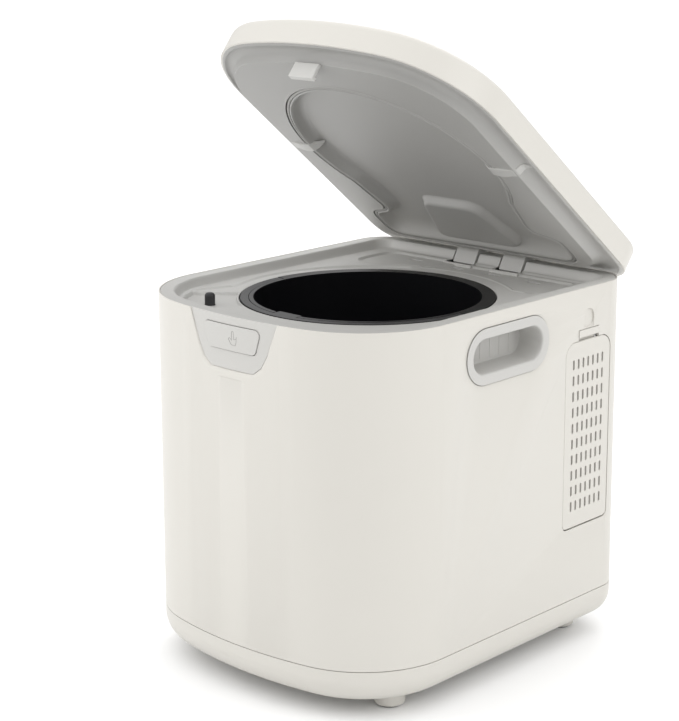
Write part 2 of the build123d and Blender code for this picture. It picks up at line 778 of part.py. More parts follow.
spring_back = housing_front + housing_long - housing_wall
spring_room = spring_back - (nose_y + 8.0) - button_travel - part_gap - 2 * spring_wire
with BuildPart() as button_spring:
    with BuildLine() as coil_path:
        Helix(pitch=1.9, height=spring_room, radius=1.9,
              center=(0, spring_back - spring_wire, (slide_top + slide_low) / 2), direction=(0, -1, 0))
    with BuildSketch(Plane(origin=coil_path.line @ 0, z_dir=coil_path.line % 0)):
        Circle(spring_wire / 2)
    sweep(is_frenet=True)

# ================================================================ lid switch
switch_top = deck_under
with BuildPart() as lid_switch:
    with BuildSketch(Plane.XY.offset(switch_top - switch_high)):
        with Locations((plunger_x, plunger_y)):
            Rectangle(switch_wide, switch_wide)
    extrude(amount=switch_high)
    with BuildSketch(Plane.XY.offset(switch_top - switch_high + switch_wall)):
        with Locations((plunger_x, plunger_y)):
            Circle(plunger_collar + part_gap)
    extrude(amount=switch_high, mode=Mode.SUBTRACT)

with BuildPart() as lid_switch_plunger:
    with BuildSketch(Plane.XY.offset(switch_top - 3.0)):
        with Locations((plunger_x, plunger_y)):
            Circle(plunger_radius)
    extrude(amount=plunger_top - switch_top + 3.0)
    fillet(lid_switch_plunger.faces().sort_by(Axis.Z)[-1].edges(), plunger_radius * 0.7)
    with BuildSketch(Plane.XY.offset(switch_top - 3.0)):
        with Locations((plunger_x, plunger_y)):
            Circle(plunger_collar)
    extrude(amount=2.6)

plunger_seat = switch_top - switch_high + switch_wall
with BuildPart() as plunger_spring:
    with BuildLine() as plunger_coil:
        Helix(pitch=spring_pitch, height=switch_top - 3.0 - plunger_seat - 2 * plate_gap - spring_wire,
              radius=spring_radius, center=(plunger_x, plunger_y, plunger_seat + plate_gap + spring_wire / 2),
              direction=(0, 0, 1))
    with BuildSketch(Plane(origin=plunger_coil.line @ 0, z_dir=plunger_coil.line % 0)):
        Circle(spring_wire / 2)
    sweep(is_frenet=True)

# ================================================================ lid
lid_low = rim_z + lid_gap
lid_top = lid_low + lid_side + lid_edge
plateau_z = rim_z - plateau_drop
panel_z = rim_z + panel_rise

with BuildPart() as lid_shell:
    with BuildSketch(lid_frame.offset(lid_low)):
        add(plan(0))
    extrude(amount=lid_top - lid_low)
    fillet(lid_shell.faces().sort_by(lid_up)[-1].edges(), lid_edge)
    with BuildPart(mode=Mode.PRIVATE) as lid_room:
        with BuildSketch(lid_frame.offset(lid_low)):
            add(plan(lid_wall))
        extrude(amount=lid_top - lid_low - lid_wall)
        fillet(lid_room.faces().sort_by(lid_up)[-1].edges(), lid_edge - lid_wall)
    add(lid_room.part, mode=Mode.SUBTRACT)

arm_top = lid_top - lid_wall
arm_bend = rim_z + liner_rise + liner_thick
with BuildPart() as hinge_arms:
    for side in (-1, 1):
        with BuildSketch(lid_side_plane.offset(side * arm_x - arm_wide / 2)):
            Polygon((hinge_y - arm_front, hinge_z + 0.5), (hinge_y - arm_front, arm_top),
                    (hinge_y + hinge_in - lid_edge - 1.0, arm_top),
                    (hinge_y + hinge_in - lid_wall - 0.5, lid_low + lid_side - 1.0),
                    (hinge_y + hinge_in - lid_wall - 0.5, arm_bend),
                    (hinge_y + arm_barrel, hinge_z), (hinge_y, hinge_z - arm_barrel),
                    (hinge_y - arm_front / 2, hinge_z - arm_barrel), align=None)
            with Locations((hinge_y, hinge_z)):
                Circle(arm_barrel)
        extrude(amount=arm_wide)
    with BuildSketch(Plane(origin=(-width / 2, hinge_y, hinge_z), x_dir=(0, 1, 0), z_dir=(1, 0, 0))):
        Circle(pin_radius + running_fit)
    extrude(amount=width, mode=Mode.SUBTRACT)

with BuildPart() as lid_liner:
    with BuildSketch(lid_frame.offset(plateau_z)):
        add(plan(plateau_inset, plateau_rear, plateau_rear_radius))
    with BuildSketch(lid_frame.offset(rim_z + band_rise)):
        add(plan(band_inset, band_rear, plateau_rear_radius))
    loft(ruled=True)
    with BuildSketch(lid_frame.offset(rim_z + band_rise)):
        add(plan(band_inset, band_rear, plateau_rear_radius))
    with BuildSketch(lid_frame.offset(rim_z + liner_rise)):
        add(plan(liner_edge))
    loft(ruled=True)
    with BuildSketch(lid_frame.offset(rim_z + liner_rise)):
        add(plan(liner_edge))
    extrude(amount=liner_thick)
    # hollow side
    with BuildPart(mode=Mode.PRIVATE) as liner_room:
        with BuildSketch(lid_frame.offset(plateau_z + liner_thick)):
            add(plan(plateau_inset + liner_thick, plateau_rear + liner_thick, plateau_rear_radius))
        with BuildSketch(lid_frame.offset(rim_z + band_rise + liner_thick)):
            add(plan(band_inset + liner_thick, band_rear + liner_thick, plateau_rear_radius))
        loft(ruled=True)
        with BuildSketch(lid_frame.offset(rim_z + band_rise + liner_thick)):
            add(plan(band_inset + liner_thick, band_rear + liner_thick, plateau_rear_radius))
        with BuildSketch(lid_frame.offset(rim_z + liner_rise + liner_thick)):
            add(plan(liner_edge + liner_thick))
        loft(ruled=True)
    add(liner_room.part, mode=Mode.SUBTRACT)
    # tub inside the seal line
    with BuildSketch(lid_frame.offset(plateau_z)):
        add(bell(groove_wide / 2 + groove_wall))
    extrude(amount=panel_z + liner_thick - plateau_z)
    with BuildSketch(lid_frame.offset(plateau_z)):
        add(bell(-groove_wide / 2 - groove_wall))
    extrude(amount=panel_z - plateau_z, mode=Mode.SUBTRACT)
    with BuildSketch(lid_frame.offset(plateau_z)):
        add(bell(groove_wide / 2))
        add(bell(-groove_wide / 2), mode=Mode.SUBTRACT)
    extrude(amount=groove_deep, mode=Mode.SUBTRACT)
    # socket for the lid switch plunger
    with BuildSketch(lid_frame.offset(plateau_z)):
        with Locations((plunger_x, plunger_y)):
            Circle(socket_radius + 1.5)
    extrude(amount=plunger_top + plate_gap + 1.5 - plateau_z)
    with BuildSketch(lid_frame.offset(plateau_z)):
        with Locations((plunger_x, plunger_y)):
            Circle(socket_radius)
    extrude(amount=plunger_top + plate_gap - plateau_z, mode=Mode.SUBTRACT)
    # room for the rear edge of the cabinet as the lid turns
    with BuildSketch(Plane(origin=(-width, hinge_y, hinge_z), x_dir=(0, 1, 0), z_dir=(1, 0, 0))):
        Circle(liner_clear)
    extrude(amount=2 * width, mode=Mode.SUBTRACT)
    add(hinge_arms.part, mode=Mode.SUBTRACT)

with BuildPart() as lid_seal:
    seal_low = ledge_z + seal_gap
    with BuildSketch(lid_frame.offset(seal_low)):
        add(bell(groove_wide / 2 - 0.2))
        add(bell(-groove_wide / 2 + 0.2), mode=Mode.SUBTRACT)
    extrude(amount=plateau_z + groove_deep - seal_low)
    # lower lip over the bucket flange
    with BuildSketch(lid_frame.offset(flange_top + seal_gap)):
        add(bell(groove_wide / 2 - 0.8))
        add(bell(-groove_wide / 2 + 0.8), mode=Mode.SUBTRACT)
        with Locations((0, well_y)):
            Circle(bucket_flange - 0.3, mode=Mode.INTERSECT)
    extrude(amount=seal_low - flange_top - seal_gap)

with BuildPart() as lid_duct_cover:
    with BuildSketch(lid_frame.offset(panel_z - duct_drop)):
        Polygon((-duct_front_half, duct_front), (duct_front_half, duct_front), (duct_rear_half, duct_rear),
                (-duct_rear_half, duct_rear), align=None)
        fillet(vertices(), 10.0)
    extrude(amount=duct_drop)
    fillet(lid_duct_cover.faces().sort_by(lid_up)[0].edges(), 1.5)

with BuildPart() as lid_hook:
    with BuildSketch(lid_frame.offset(rim_z - hook_drop)):
        with Locations((0, hook_front_y + hook_thick / 2)):
            Rectangle(2 * hook_half, hook_thick)
    extrude(amount=plateau_z - rim_z + hook_drop)
    with BuildSketch(lid_frame.offset(rim_z - hook_drop)):
        with Locations((0, hook_front_y + hook_thick + barb_deep / 2)):
            Rectangle(2 * hook_half, barb_deep)
    extrude(amount=barb_high)

with BuildPart() as lid_clips:
    for side in (-1, 1):
        with BuildSketch(lid_frame.offset(plateau_z - 0.6)):
            with Locations((side * (groove_radius + groove_wide / 2 + 0.5 + rib_outer) / 2, rib_y)):
                Rectangle(rib_outer - groove_radius - groove_wide / 2 - 0.5, rib_thick)
        extrude(amount=0.6)
        with BuildSketch(lid_frame.offset(plateau_z - 0.6)):
            with Locations((side * (rib_inner + groove_radius - groove_wide / 2 - groove_wall) / 2, rib_y)):
                Rectangle(groove_radius - groove_wide / 2 - groove_wall - rib_inner, rib_thick)
        extrude(amount=panel_z - plateau_z + 0.6)
    add(lid_liner.part, mode=Mode.SUBTRACT)

# ================================================================ hinge
pin_reach = arm_wide / 2 + notch_gap + notch_wall
with BuildPart() as hinge_pins:
    for side in (-1, 1):
        with BuildSketch(Plane(origin=(side * arm_x - pin_reach, hinge_y, hinge_z), x_dir=(0, 1, 0), z_dir=(1, 0, 0))):
            Circle(pin_radius)
        extrude(amount=2 * pin_reach)

with BuildPart() as hinge_brackets:
    ear_x = arm_wide / 2 + ear_gap
    for side in (-1, 1):
        with BuildSketch(Plane.XY.offset(rim_z - notch_floor)):
            with Locations((side * arm_x, hinge_y - 2.0)):
                Rectangle(2 * (ear_x + ear_thick), 11.0)
        extrude(amount=notch_floor - hinge_drop + pin_radius + 1.5)
        with BuildSketch(Plane.XY.offset(rim_z - notch_floor + ear_thick)):
            with Locations((side * arm_x, hinge_y - 2.0)):
                Rectangle(2 * ear_x, 12.0)
        extrude(amount=notch_floor, mode=Mode.SUBTRACT)
    with BuildSketch(Plane(origin=(-width / 2, hinge_y, hinge_z), x_dir=(0, 1, 0), z_dir=(1, 0, 0))):
        Circle(pin_radius)
    extrude(amount=width, mode=Mode.SUBTRACT)

# ================================================================ bucket
with BuildPart() as bucket:
    with BuildSketch(Plane.XY.offset(bucket_floor - bucket_wall)):
        with Locations((0, well_y)):
            Circle(bucket_inner + bucket_wall)
    extrude(amount=flange_top - bucket_floor + bucket_wall)
    fillet(bucket.faces().sort_by(Axis.Z)[0].edges(), bucket_edge)
    with BuildSketch(Plane.XY.offset(flange_low)):
        with Locations((0, well_y)):
            Circle(bucket_flange)
    extrude(amount=flange_top - flange_low)
    with BuildPart(mode=Mode.PRIVATE) as bucket_room:
        with BuildSketch(Plane.XY.offset(bucket_floor)):
            with Locations((0, well_y)):
                Circle(bucket_inner)
        extrude(amount=bucket_depth)
        fillet(bucket_room.faces().sort_by(Axis.Z)[0].edges(), bucket_edge - bucket_wall)
    add(bucket_room.part, mode=Mode.SUBTRACT)
    # recess in the front half of the flange for the folded handle
    with BuildSketch(Plane.XY.offset(flange_low + flange_thick)):
        with Locations((0, well_y)):
            Circle(bucket_flange + 1.0)
            Circle(rim_ring, mode=Mode.SUBTRACT)
        with Locations((0, well_y + bail_thick / 2 + part_gap + depth / 2)):
            Rectangle(width, depth, mode=Mode.SUBTRACT)
    extrude(amount=flange_top - flange_low - flange_thick, mode=Mode.SUBTRACT)
    with BuildSketch(Plane.XY.offset(flange_low + flange_thick)):
        with Locations((0, well_y - rim_ring + 5.0)):
            Rectangle(2 * bail_tab_half + 2.0, 12.0)
    extrude(amount=flange_top - flange_low - flange_thick, mode=Mode.SUBTRACT)
    bail_z = flange_top - bail_thick / 2 - 0.1
    with BuildSketch(Plane(origin=(-rim_ring - 1.0, well_y, bail_z), x_dir=(0, 1, 0), z_dir=(1, 0, 0))):
        Circle(bail_pin + running_fit)
    extrude(amount=2 * rim_ring + 2.0, mode=Mode.SUBTRACT)
    # seat of the bushing
    with BuildSketch(Plane.XY.offset(bucket_floor - 2 * bucket_wall)):
        with Locations((0, well_y)):
            Circle(bushing_radius)
    extrude(amount=4 * bucket_wall, mode=Mode.SUBTRACT)

with BuildPart() as bucket_handle:
    with BuildSketch(Plane.XY.offset(bail_z - bail_thick / 2)):
        with Locations((0, well_y)):
            Circle(bail_outer)
            Circle(bail_inner, mode=Mode.SUBTRACT)
        with Locations((0, well_y - bail_inner + 0.5 + (1.0 - bail_tab) / 2 + bail_tab - 1.0)):
            Rectangle(2 * bail_tab_half, bail_tab)
        with Locations((0, well_y + depth / 2)):
            Rectangle(width, depth, mode=Mode.SUBTRACT)
    extrude(amount=bail_thick)
    with BuildSketch(Plane(origin=(-bail_outer, well_y, bail_z), x_dir=(0, 1, 0), z_dir=(1, 0, 0))):
        Circle(bail_thick / 2)
    extrude(amount=2 * bail_outer)
    with BuildSketch(Plane(origin=(-bail_inner, well_y, bail_z), x_dir=(0, 1, 0), z_dir=(1, 0, 0))):
        Circle(bail_thick)
    extrude(amount=2 * bail_inner, mode=Mode.SUBTRACT)
    with BuildSketch(Plane(origin=(-bail_inner - 1.0, well_y, bail_z), x_dir=(0, 1, 0), z_dir=(1, 0, 0))):
        Circle(bail_pin)
    extrude(amount=2 * bail_inner + 2.0)
    with BuildSketch(Plane(origin=(-bucket_inner - 1.0, well_y, bail_z), x_dir=(0, 1, 0), z_dir=(1, 0, 0))):
        Circle(bail_thick)
    extrude(amount=2 * bucket_inner + 2.0, mode=Mode.SUBTRACT)

bushing_low = bucket_floor - bucket_wall - 0.8
with BuildPart() as bucket_bushing:
    with BuildSketch(Plane.XY.offset(bushing_low)):
        with Locations((0, well_y)):
            Circle(bushing_radius)
            Circle(stem_radius + running_fit, mode=Mode.SUBTRACT)
    extrude(amount=bushing_high)

hub_low = bushing_low + bushing_high + plate_gap
with BuildPart() as stirrer:
    with BuildSketch(Plane.XY.offset(bushing_low)):
        with Locations((0, well_y)):
            Circle(stem_radius)
    extrude(amount=hub_low - bushing_low)
    with BuildSketch(Plane.XY.offset(hub_low)):
        with Locations((0, well_y)):
            Circle(hub_radius)
    extrude(amount=hub_high)
    fillet(stirrer.faces().sort_by(Axis.Z)[-1].edges(), 6.0)
    with BuildSketch(Plane.XY.offset(hub_low + hub_high / 2)):
        with Locations((0, well_y)):
            Circle(stem_radius)
    extrude(amount=post_high)
    fillet(stirrer.faces().sort_by(Axis.Z)[-1].edges(), 4.0)
    for angle, level, reach in ((20.0, 4.0, arm_reach), (200.0, 4.0, arm_reach),
                                (110.0, 44.0, arm_reach - 6.0), (290.0, 44.0, arm_reach - 6.0)):
        with BuildSketch(Plane.XY.offset(hub_low + level)):
            with Locations((0, well_y)):
                with PolarLocations(reach / 2, 1, start_angle=angle):
                    Rectangle(reach, arm_deep)
        extrude(amount=arm_high)
    with BuildSketch(Plane.XY.offset(bushing_low)):
        with Locations((0, well_y)):
            RegularPolygon((hex_flats / 2 + hex_clear), 6, major_radius=False)
    extrude(amount=hex_high + 2.0, mode=Mode.SUBTRACT)

# ================================================================ drive
pitch_small = gear_module * pinion_teeth / 2
pitch_large = gear_module * wheel_teeth / 2
centre_gap = pitch_small + pitch_large
lay_x = -centre_gap
motor_x = -2 * centre_gap
level_one = gearbox_low + gearbox_wall + 1.5
level_two = level_one + gear_high + gear_gap
gearbox_top = level_two + gear_high + gear_gap
half_step = pi / wheel_teeth

with BuildPart() as gearbox_housing:
    box_left = motor_x - pitch_small - gearbox_room
    box_right = pitch_large + gearbox_room
    box_half = pitch_large + gearbox_room
    with BuildSketch(Plane.XY.offset(gearbox_low)):
        with Locations(((box_left + box_right) / 2, well_y)):
            RectangleRounded(box_right - box_left, 2 * box_half, 10.0)
    extrude(amount=gearbox_top - gearbox_low)
    with BuildSketch(Plane.XY.offset(gearbox_low + gearbox_wall)):
        with Locations(((box_left + box_right) / 2, well_y)):
            RectangleRounded(box_right - box_left - 2 * gearbox_wall, 2 * (box_half - gearbox_wall), 7.0)
    extrude(amount=gearbox_top, mode=Mode.SUBTRACT)
    with BuildSketch(Plane.XY.offset(gearbox_low)):
        with Locations((motor_x, well_y)):
            Circle(axle_radius + 2.0)
        with Locations((0, well_y)):
            Circle(shaft_radius + running_fit)
    extrude(amount=gearbox_wall, mode=Mode.SUBTRACT)
    with BuildSketch(Plane.XY.offset(gearbox_low)):
        with Locations((lay_x, well_y)):
            Circle(axle_radius)
    extrude(amount=gearbox_top - gearbox_low)
    # legs down to the base tray
    with BuildSketch(Plane.XY.offset(underside_z + wall)):
        with Locations(*[(x, well_y + side * (box_half - 6.0))
                         for x in (box_right - 8.0, lay_x) for side in (-1, 1)]):
            Circle(4.0)
    extrude(amount=gearbox_low - underside_z - wall + gearbox_wall)

with BuildPart() as gearbox_cover:
    with BuildSketch(Plane.XY.offset(gearbox_top)):
        with Locations(((box_left + box_right) / 2, well_y)):
            RectangleRounded(box_right - box_left, 2 * box_half, 10.0)
        with Locations((0, well_y)):
            Circle(shaft_radius + 4.0, mode=Mode.SUBTRACT)
    extrude(amount=gearbox_wall)

with BuildPart() as output_bearing:
    with BuildSketch(Plane.XY.offset(gearbox_top)):
        with Locations((0, well_y)):
            Circle(shaft_radius + 4.0)
            Circle(shaft_radius + running_fit, mode=Mode.SUBTRACT)
    extrude(amount=gearbox_wall)

hex_low = bushing_low - 1.5
with BuildPart() as drive_coupling:
    with BuildSketch(Plane.XY.offset(gearbox_low + 0.5)):
        with Locations((0, well_y)):
            Circle(shaft_radius)
    extrude(amount=hex_low - gearbox_low - 0.5)
    with BuildSketch(Plane.XY.offset(hex_low)):
        with Locations((0, well_y)):
            RegularPolygon(hex_flats / 2, 6, major_radius=False)
    extrude(amount=hex_high)

with BuildPart() as output_gear:
    with BuildSketch(Plane.XY.offset(level_two)):
        with Locations((0, well_y)):
            add(gear(wheel_teeth, pi + half_step))
            Circle(shaft_radius, mode=Mode.SUBTRACT)
    extrude(amount=gear_high)

with BuildPart() as intermediate_gear:
    with BuildSketch(Plane.XY.offset(level_one)):
        with Locations((lay_x, well_y)):
            add(gear(wheel_teeth, pi + half_step))
            Circle(axle_radius + running_fit, mode=Mode.SUBTRACT)
    extrude(amount=gear_high)
    with BuildSketch(Plane.XY.offset(level_one + gear_high)):
        with Locations((lay_x, well_y)):
            Circle(pitch_small - 1.5 * gear_module)
            Circle(axle_radius + running_fit, mode=Mode.SUBTRACT)
    extrude(amount=gear_gap)
    with BuildSketch(Plane.XY.offset(level_two)):
        with Locations((lay_x, well_y)):
            add(gear(pinion_teeth, 0))
            Circle(axle_radius + running_fit, mode=Mode.SUBTRACT)
    extrude(amount=gear_high)

with BuildPart() as motor_pinion:
    with BuildSketch(Plane.XY.offset(level_one)):
        with Locations((motor_x, well_y)):
            add(gear(pinion_teeth, 0))
    extrude(amount=gear_high)
    with BuildSketch(Plane.XY.offset(gearbox_low - 10.0)):
        with Locations((motor_x, well_y)):
            Circle(axle_radius)
    extrude(amount=level_one - gearbox_low + 10.0)

with BuildPart() as motor:
    with BuildSketch(Plane.XY.offset(gearbox_low - motor_high)):
        with Locations((motor_x, well_y)):
            Circle(motor_radius)
    extrude(amount=motor_high)
    fillet(motor.faces().sort_by(Axis.Z)[0].edges(), 3.0)
    with BuildSketch(Plane.XY.offset(gearbox_low - 11.0)):
        with Locations((motor_x, well_y)):
            Circle(axle_radius + running_fit)
    extrude(amount=11.0, mode=Mode.SUBTRACT)

# ================================================================ filter door, latch, bay, cartridge
with BuildPart() as filter_cover:
    with BuildSketch(right_plane.offset(width / 2 - door_thick)):
        add(door_face(0, 0, 0))
    extrude(amount=door_thick)
    fillet(filter_cover.faces().sort_by(Axis.Z)[0].edges().filter_by(Axis.Y), door_thick * 0.45)
    with BuildSketch(right_plane.offset(width / 2 - 2 * door_thick)):
        with Locations((door_mid_y, door_top - slot_top - (slot_rows - 1) * slot_pitch_z / 2)):
            with GridLocations(slot_pitch_y, slot_pitch_z, slot_columns, slot_rows):
                SlotOverall(slot_long, slot_wide, rotation=90)
    extrude(amount=3 * door_thick, mode=Mode.SUBTRACT)
    with BuildSketch(Plane(origin=(width / 2 - door_thick / 2, door_front - door_pin_long, 0),
                           x_dir=(1, 0, 0), z_dir=(0, 1, 0))):
        with Locations((0, -(door_low + door_hinge_up))):
            Circle(door_pin)
    extrude(amount=door_wide + 2 * door_pin_long)
    # guides of the latch
    with BuildSketch(right_plane.offset(width / 2 - door_thick - 3.0)):
        with Locations((door_mid_y - tab_wide / 2 - 2.5, door_top - 8.0),
                       (door_mid_y + tab_wide / 2 + 2.5, door_top - 8.0)):
            Rectangle(3.0, 12.0)
    extrude(amount=3.0)

with BuildPart() as filter_cover_latch:
    with BuildSketch(right_plane.offset(width / 2 - door_thick)):
        with Locations((door_mid_y, door_top + tab_band + tab_high / 2)):
            Rectangle(tab_wide, tab_high)
    extrude(amount=door_thick + 0.6)
    with BuildSketch(right_plane.offset(width / 2 - door_thick - part_gap - 2.0)):
        with Locations((door_mid_y, (tab_top + tab_catch + door_top - 12.0) / 2)):
            Rectangle(tab_wide - 4.0, tab_top + tab_catch - door_top + 12.0)
    extrude(amount=2.0)
    with BuildSketch(right_plane.offset(width / 2 - door_thick - part_gap)):
        with Locations((door_mid_y, door_top + tab_band + tab_high / 2)):
            Rectangle(tab_wide - 4.0, tab_high - 1.0)
    extrude(amount=part_gap)

bay_left = width / 2 - wall - bay_deep
with BuildPart() as filter_bay:
    bay_top = tab_top + tab_catch + 3.0
    bay_low = door_low - 4.0
    with BuildSketch(Plane.XY.offset(bay_low - bay_wall)):
        with Locations(((bay_left + width / 2 - wall) / 2 - bay_wall / 2, door_mid_y)):
            Rectangle(bay_deep + bay_wall, door_wide + 2 * (bay_margin + bay_wall) + 4.0)
    extrude(amount=bay_top - bay_low + 2 * bay_wall)
    with BuildSketch(Plane.XY.offset(bay_low)):
        with Locations(((bay_left + width / 2) / 2, door_mid_y)):
            Rectangle(width / 2 - bay_left, door_wide + 2 * bay_margin + 4.0)
    extrude(amount=bay_top - bay_low, mode=Mode.SUBTRACT)
    with BuildSketch(Plane.XY.offset(seam_z)):
        add(plan(wall + 0.1))
    extrude(amount=rim_z, mode=Mode.INTERSECT)
    with BuildSketch(right_plane.offset(bay_left - 2 * bay_wall)):
        with Locations(((fan_front + min(fan_rear, door_rear)) / 2, (fan_low + fan_high) / 2)):
            Rectangle(min(fan_rear, door_rear) - fan_front - 2 * duct_wall - 2.0,
                      fan_high - fan_low - 2 * duct_wall - 2.0)
    extrude(amount=3 * bay_wall, mode=Mode.SUBTRACT)

with BuildPart() as filter_cartridge:
    with BuildSketch(Plane.XY.offset(bay_low)):
        with Locations(((bay_left + width / 2 - wall - 6.0) / 2, door_mid_y)):
            Rectangle(bay_deep - 6.0, door_wide - cartridge_gap)
    extrude(amount=fan_low - cartridge_low - bay_low)

# ================================================================ fan and duct
fan_right = bay_left - bay_wall
fan_y = (fan_front + fan_rear) / 2
fan_z = (fan_low + fan_high) / 2
fan_mid = fan_left + fan_ahead
with BuildPart() as fan_housing:
    with BuildSketch(right_plane.offset(fan_left)):
        with Locations((fan_y, fan_z)):
            Rectangle(fan_rear - fan_front, fan_high - fan_low)
    extrude(amount=fan_right - fan_left)
    with BuildSketch(right_plane.offset(fan_left)):
        with Locations((fan_y, fan_z)):
            Circle(fan_radius + 1.0)
    extrude(amount=fan_right - fan_left, mode=Mode.SUBTRACT)
    with BuildSketch(right_plane.offset(fan_mid + rotor_long + 1.0)):
        with Locations((fan_y, fan_z)):
            Rectangle(2 * fan_radius + 3.0, 5.0)
            Circle(fan_hub + 1.0)
    extrude(amount=spider_thick)
    with BuildSketch(right_plane.offset(fan_mid + rotor_long)):
        with Locations((fan_y, fan_z)):
            Circle(1.5 + running_fit)
    extrude(amount=spider_thick + 1.0, mode=Mode.SUBTRACT)

with BuildPart() as fan_rotor:
    with BuildSketch(right_plane.offset(fan_mid)):
        with Locations((fan_y, fan_z)):
            Circle(fan_hub)
    extrude(amount=rotor_long)
    with BuildSketch(right_plane.offset(fan_mid)):
        with Locations((fan_y, fan_z)):
            with PolarLocations((fan_radius + fan_hub) / 2 - 1.0, fan_blades):
                Rectangle(fan_radius - fan_hub + 2.0, 1.4)
    extrude(amount=rotor_long)
    with BuildSketch(right_plane.offset(fan_mid + rotor_long)):
        with Locations((fan_y, fan_z)):
            Circle(1.5)
    extrude(amount=spider_thick)

duct_high = deck_under
duct_low = fan_low
with BuildPart() as exhaust_duct:
    duct_rear_y = rear_y - hinge_in - notch_front - notch_wall - 1.0
    # collector under the deck slots
    with BuildSketch(Plane.XY.offset(fan_high)):
        with Locations((0, (fan_front + duct_rear_y) / 2)):
            Rectangle(-2 * duct_left, duct_rear_y - fan_front)
        with Locations((0, well_y)):
            Circle(well_lip_low + hub_wall + 0.5, mode=Mode.SUBTRACT)
    extrude(amount=duct_high - fan_high)
    with BuildSketch(Plane.XY.offset(fan_high + duct_wall)):
        with Locations((0, (fan_front + duct_rear_y) / 2)):
            Rectangle(-2 * duct_left - 2 * duct_wall, duct_rear_y - fan_front - 2 * duct_wall)
        with Locations((0, well_y)):
            Circle(well_lip_low + hub_wall + 0.5 + duct_wall, mode=Mode.SUBTRACT)
    extrude(amount=duct_high - fan_high, mode=Mode.SUBTRACT)
    # drop to the fan
    with BuildSketch(Plane.XY.offset(fan_low)):
        with Locations((fan_left - 16.0, fan_y - 4.0)):
            Rectangle(32.0, fan_rear - fan_front - 8.0)
    extrude(amount=fan_high - fan_low)
    with BuildSketch(Plane.XY.offset(fan_low + duct_wall)):
        with Locations((fan_left - 16.0 + duct_wall / 2, fan_y - 4.0)):
            Rectangle(32.0 - duct_wall, fan_rear - fan_front - 8.0 - 2 * duct_wall)
    extrude(amount=fan_high - fan_low + 1.0, mode=Mode.SUBTRACT)

# ================================================================ electrics
board_y = rear_y - wall - 8.0
with BuildPart() as control_board:
    with BuildSketch(front_plane.offset(-board_y)):
        with Locations((board_x, board_z)):
            Rectangle(board_long, board_high)
    extrude(amount=board_thick)
    with BuildSketch(front_plane.offset(-board_y + board_thick)):
        with Locations((board_x - 26.0, board_z + 10.0)):
            Rectangle(18.0, 22.0)
        with Locations((board_x + 2.0, board_z - 12.0)):
            Rectangle(24.0, 18.0)
        with Locations((board_x + 28.0, board_z + 12.0)):
            Circle(8.0)
    extrude(amount=14.0)
    with BuildSketch(front_plane.offset(-rear_y + wall)):
        with Locations((board_x, board_z)):
            with GridLocations(board_long - 8.0, board_high - 8.0, 2, 2):
                Circle(3.0)
    extrude(amount=rear_y - wall - board_y)

with BuildPart() as power_inlet:
    with BuildSketch(front_plane.offset(-rear_y - 1.2)):
        with Locations((inlet_x, inlet_z)):
            Rectangle(inlet_wide + 8.0, inlet_high + 8.0)
    extrude(amount=1.2)
    with BuildSketch(front_plane.offset(-rear_y)):
        with Locations((inlet_x, inlet_z)):
            Rectangle(inlet_wide, inlet_high)
    extrude(amount=inlet_deep)
    with BuildSketch(front_plane.offset(-rear_y - 1.2)):
        with Locations((inlet_x, inlet_z)):
            Rectangle(inlet_wide - 5.0, inlet_high - 5.0)
    extrude(amount=inlet_deep - 1.0, mode=Mode.SUBTRACT)
    with BuildSketch(front_plane.offset(-rear_y + 8.0)):
        with Locations((inlet_x - 6.0, inlet_z - 2.0), (inlet_x, inlet_z + 3.0), (inlet_x + 6.0, inlet_z - 2.0)):
            Rectangle(2.0, 4.0)
    extrude(amount=inlet_deep - 9.0)

# ================================================================ output
nodes = {
    "body_shell": body_shell, "base_shell": base_shell, "feet": feet, "foot_pads": foot_pads,
    "base_screws": base_screws, "top_deck": top_deck, "well_gasket": well_gasket, "well_sleeve": well_sleeve,
    "heater_band": heater_band, "thermostat": thermostat, "handle_cup_left": handle_cup_left,
    "handle_cup_right": handle_cup_right, "front_bezel": front_bezel, "open_button": open_button,
    "button_spring": button_spring, "latch_slide": latch_slide, "latch_housing": latch_housing,
    "lid_switch": lid_switch, "lid_switch_plunger": lid_switch_plunger, "plunger_spring": plunger_spring,
    "lid_shell": lid_shell, "lid_liner": lid_liner, "lid_seal": lid_seal, "lid_duct_cover": lid_duct_cover,
    "lid_hook": lid_hook, "lid_clips": lid_clips, "hinge_arms": hinge_arms, "hinge_pins": hinge_pins,
    "hinge_brackets": hinge_brackets, "bucket": bucket, "bucket_handle": bucket_handle,
    "bucket_bushing": bucket_bushing, "stirrer": stirrer, "gearbox_housing": gearbox_housing,
    "gearbox_cover": gearbox_cover, "output_bearing": output_bearing, "drive_coupling": drive_coupling,
    "output_gear": output_gear, "intermediate_gear": intermediate_gear, "motor_pinion": motor_pinion,
    "motor": motor, "filter_cover": filter_cover, "filter_cover_latch": filter_cover_latch,
    "filter_bay": filter_bay, "filter_cartridge": filter_cartridge, "fan_housing": fan_housing,
    "fan_rotor": fan_rotor, "exhaust_duct": exhaust_duct, "control_board": control_board,
    "power_inlet": power_inlet,
}
for label, built in nodes.items():
    built.part.label = label
    export_step(built.part, f"parts/{label}.step")
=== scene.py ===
# %% [markdown]
# # Food waste composter, dressed for the camera
# This kitchen machine dries and grinds leftovers: a cream cabinet, a grey deck with a black lift-out
# bucket, and a lid on two hinge arms. The engineering solids are loaded first and never moved. What
# shows is a copy of a solid with rounded edges, or a softer new piece fitted to it. Each one rides on
# the solid's own body, so the lid, bucket, button and filter door still move.

# %% Load the engineering model
import bmesh
import bpy
import json
from math import atan2, cos, pi, radians, sin, sqrt, tan
from mathutils import Matrix, Vector
from mathutils.kdtree import KDTree

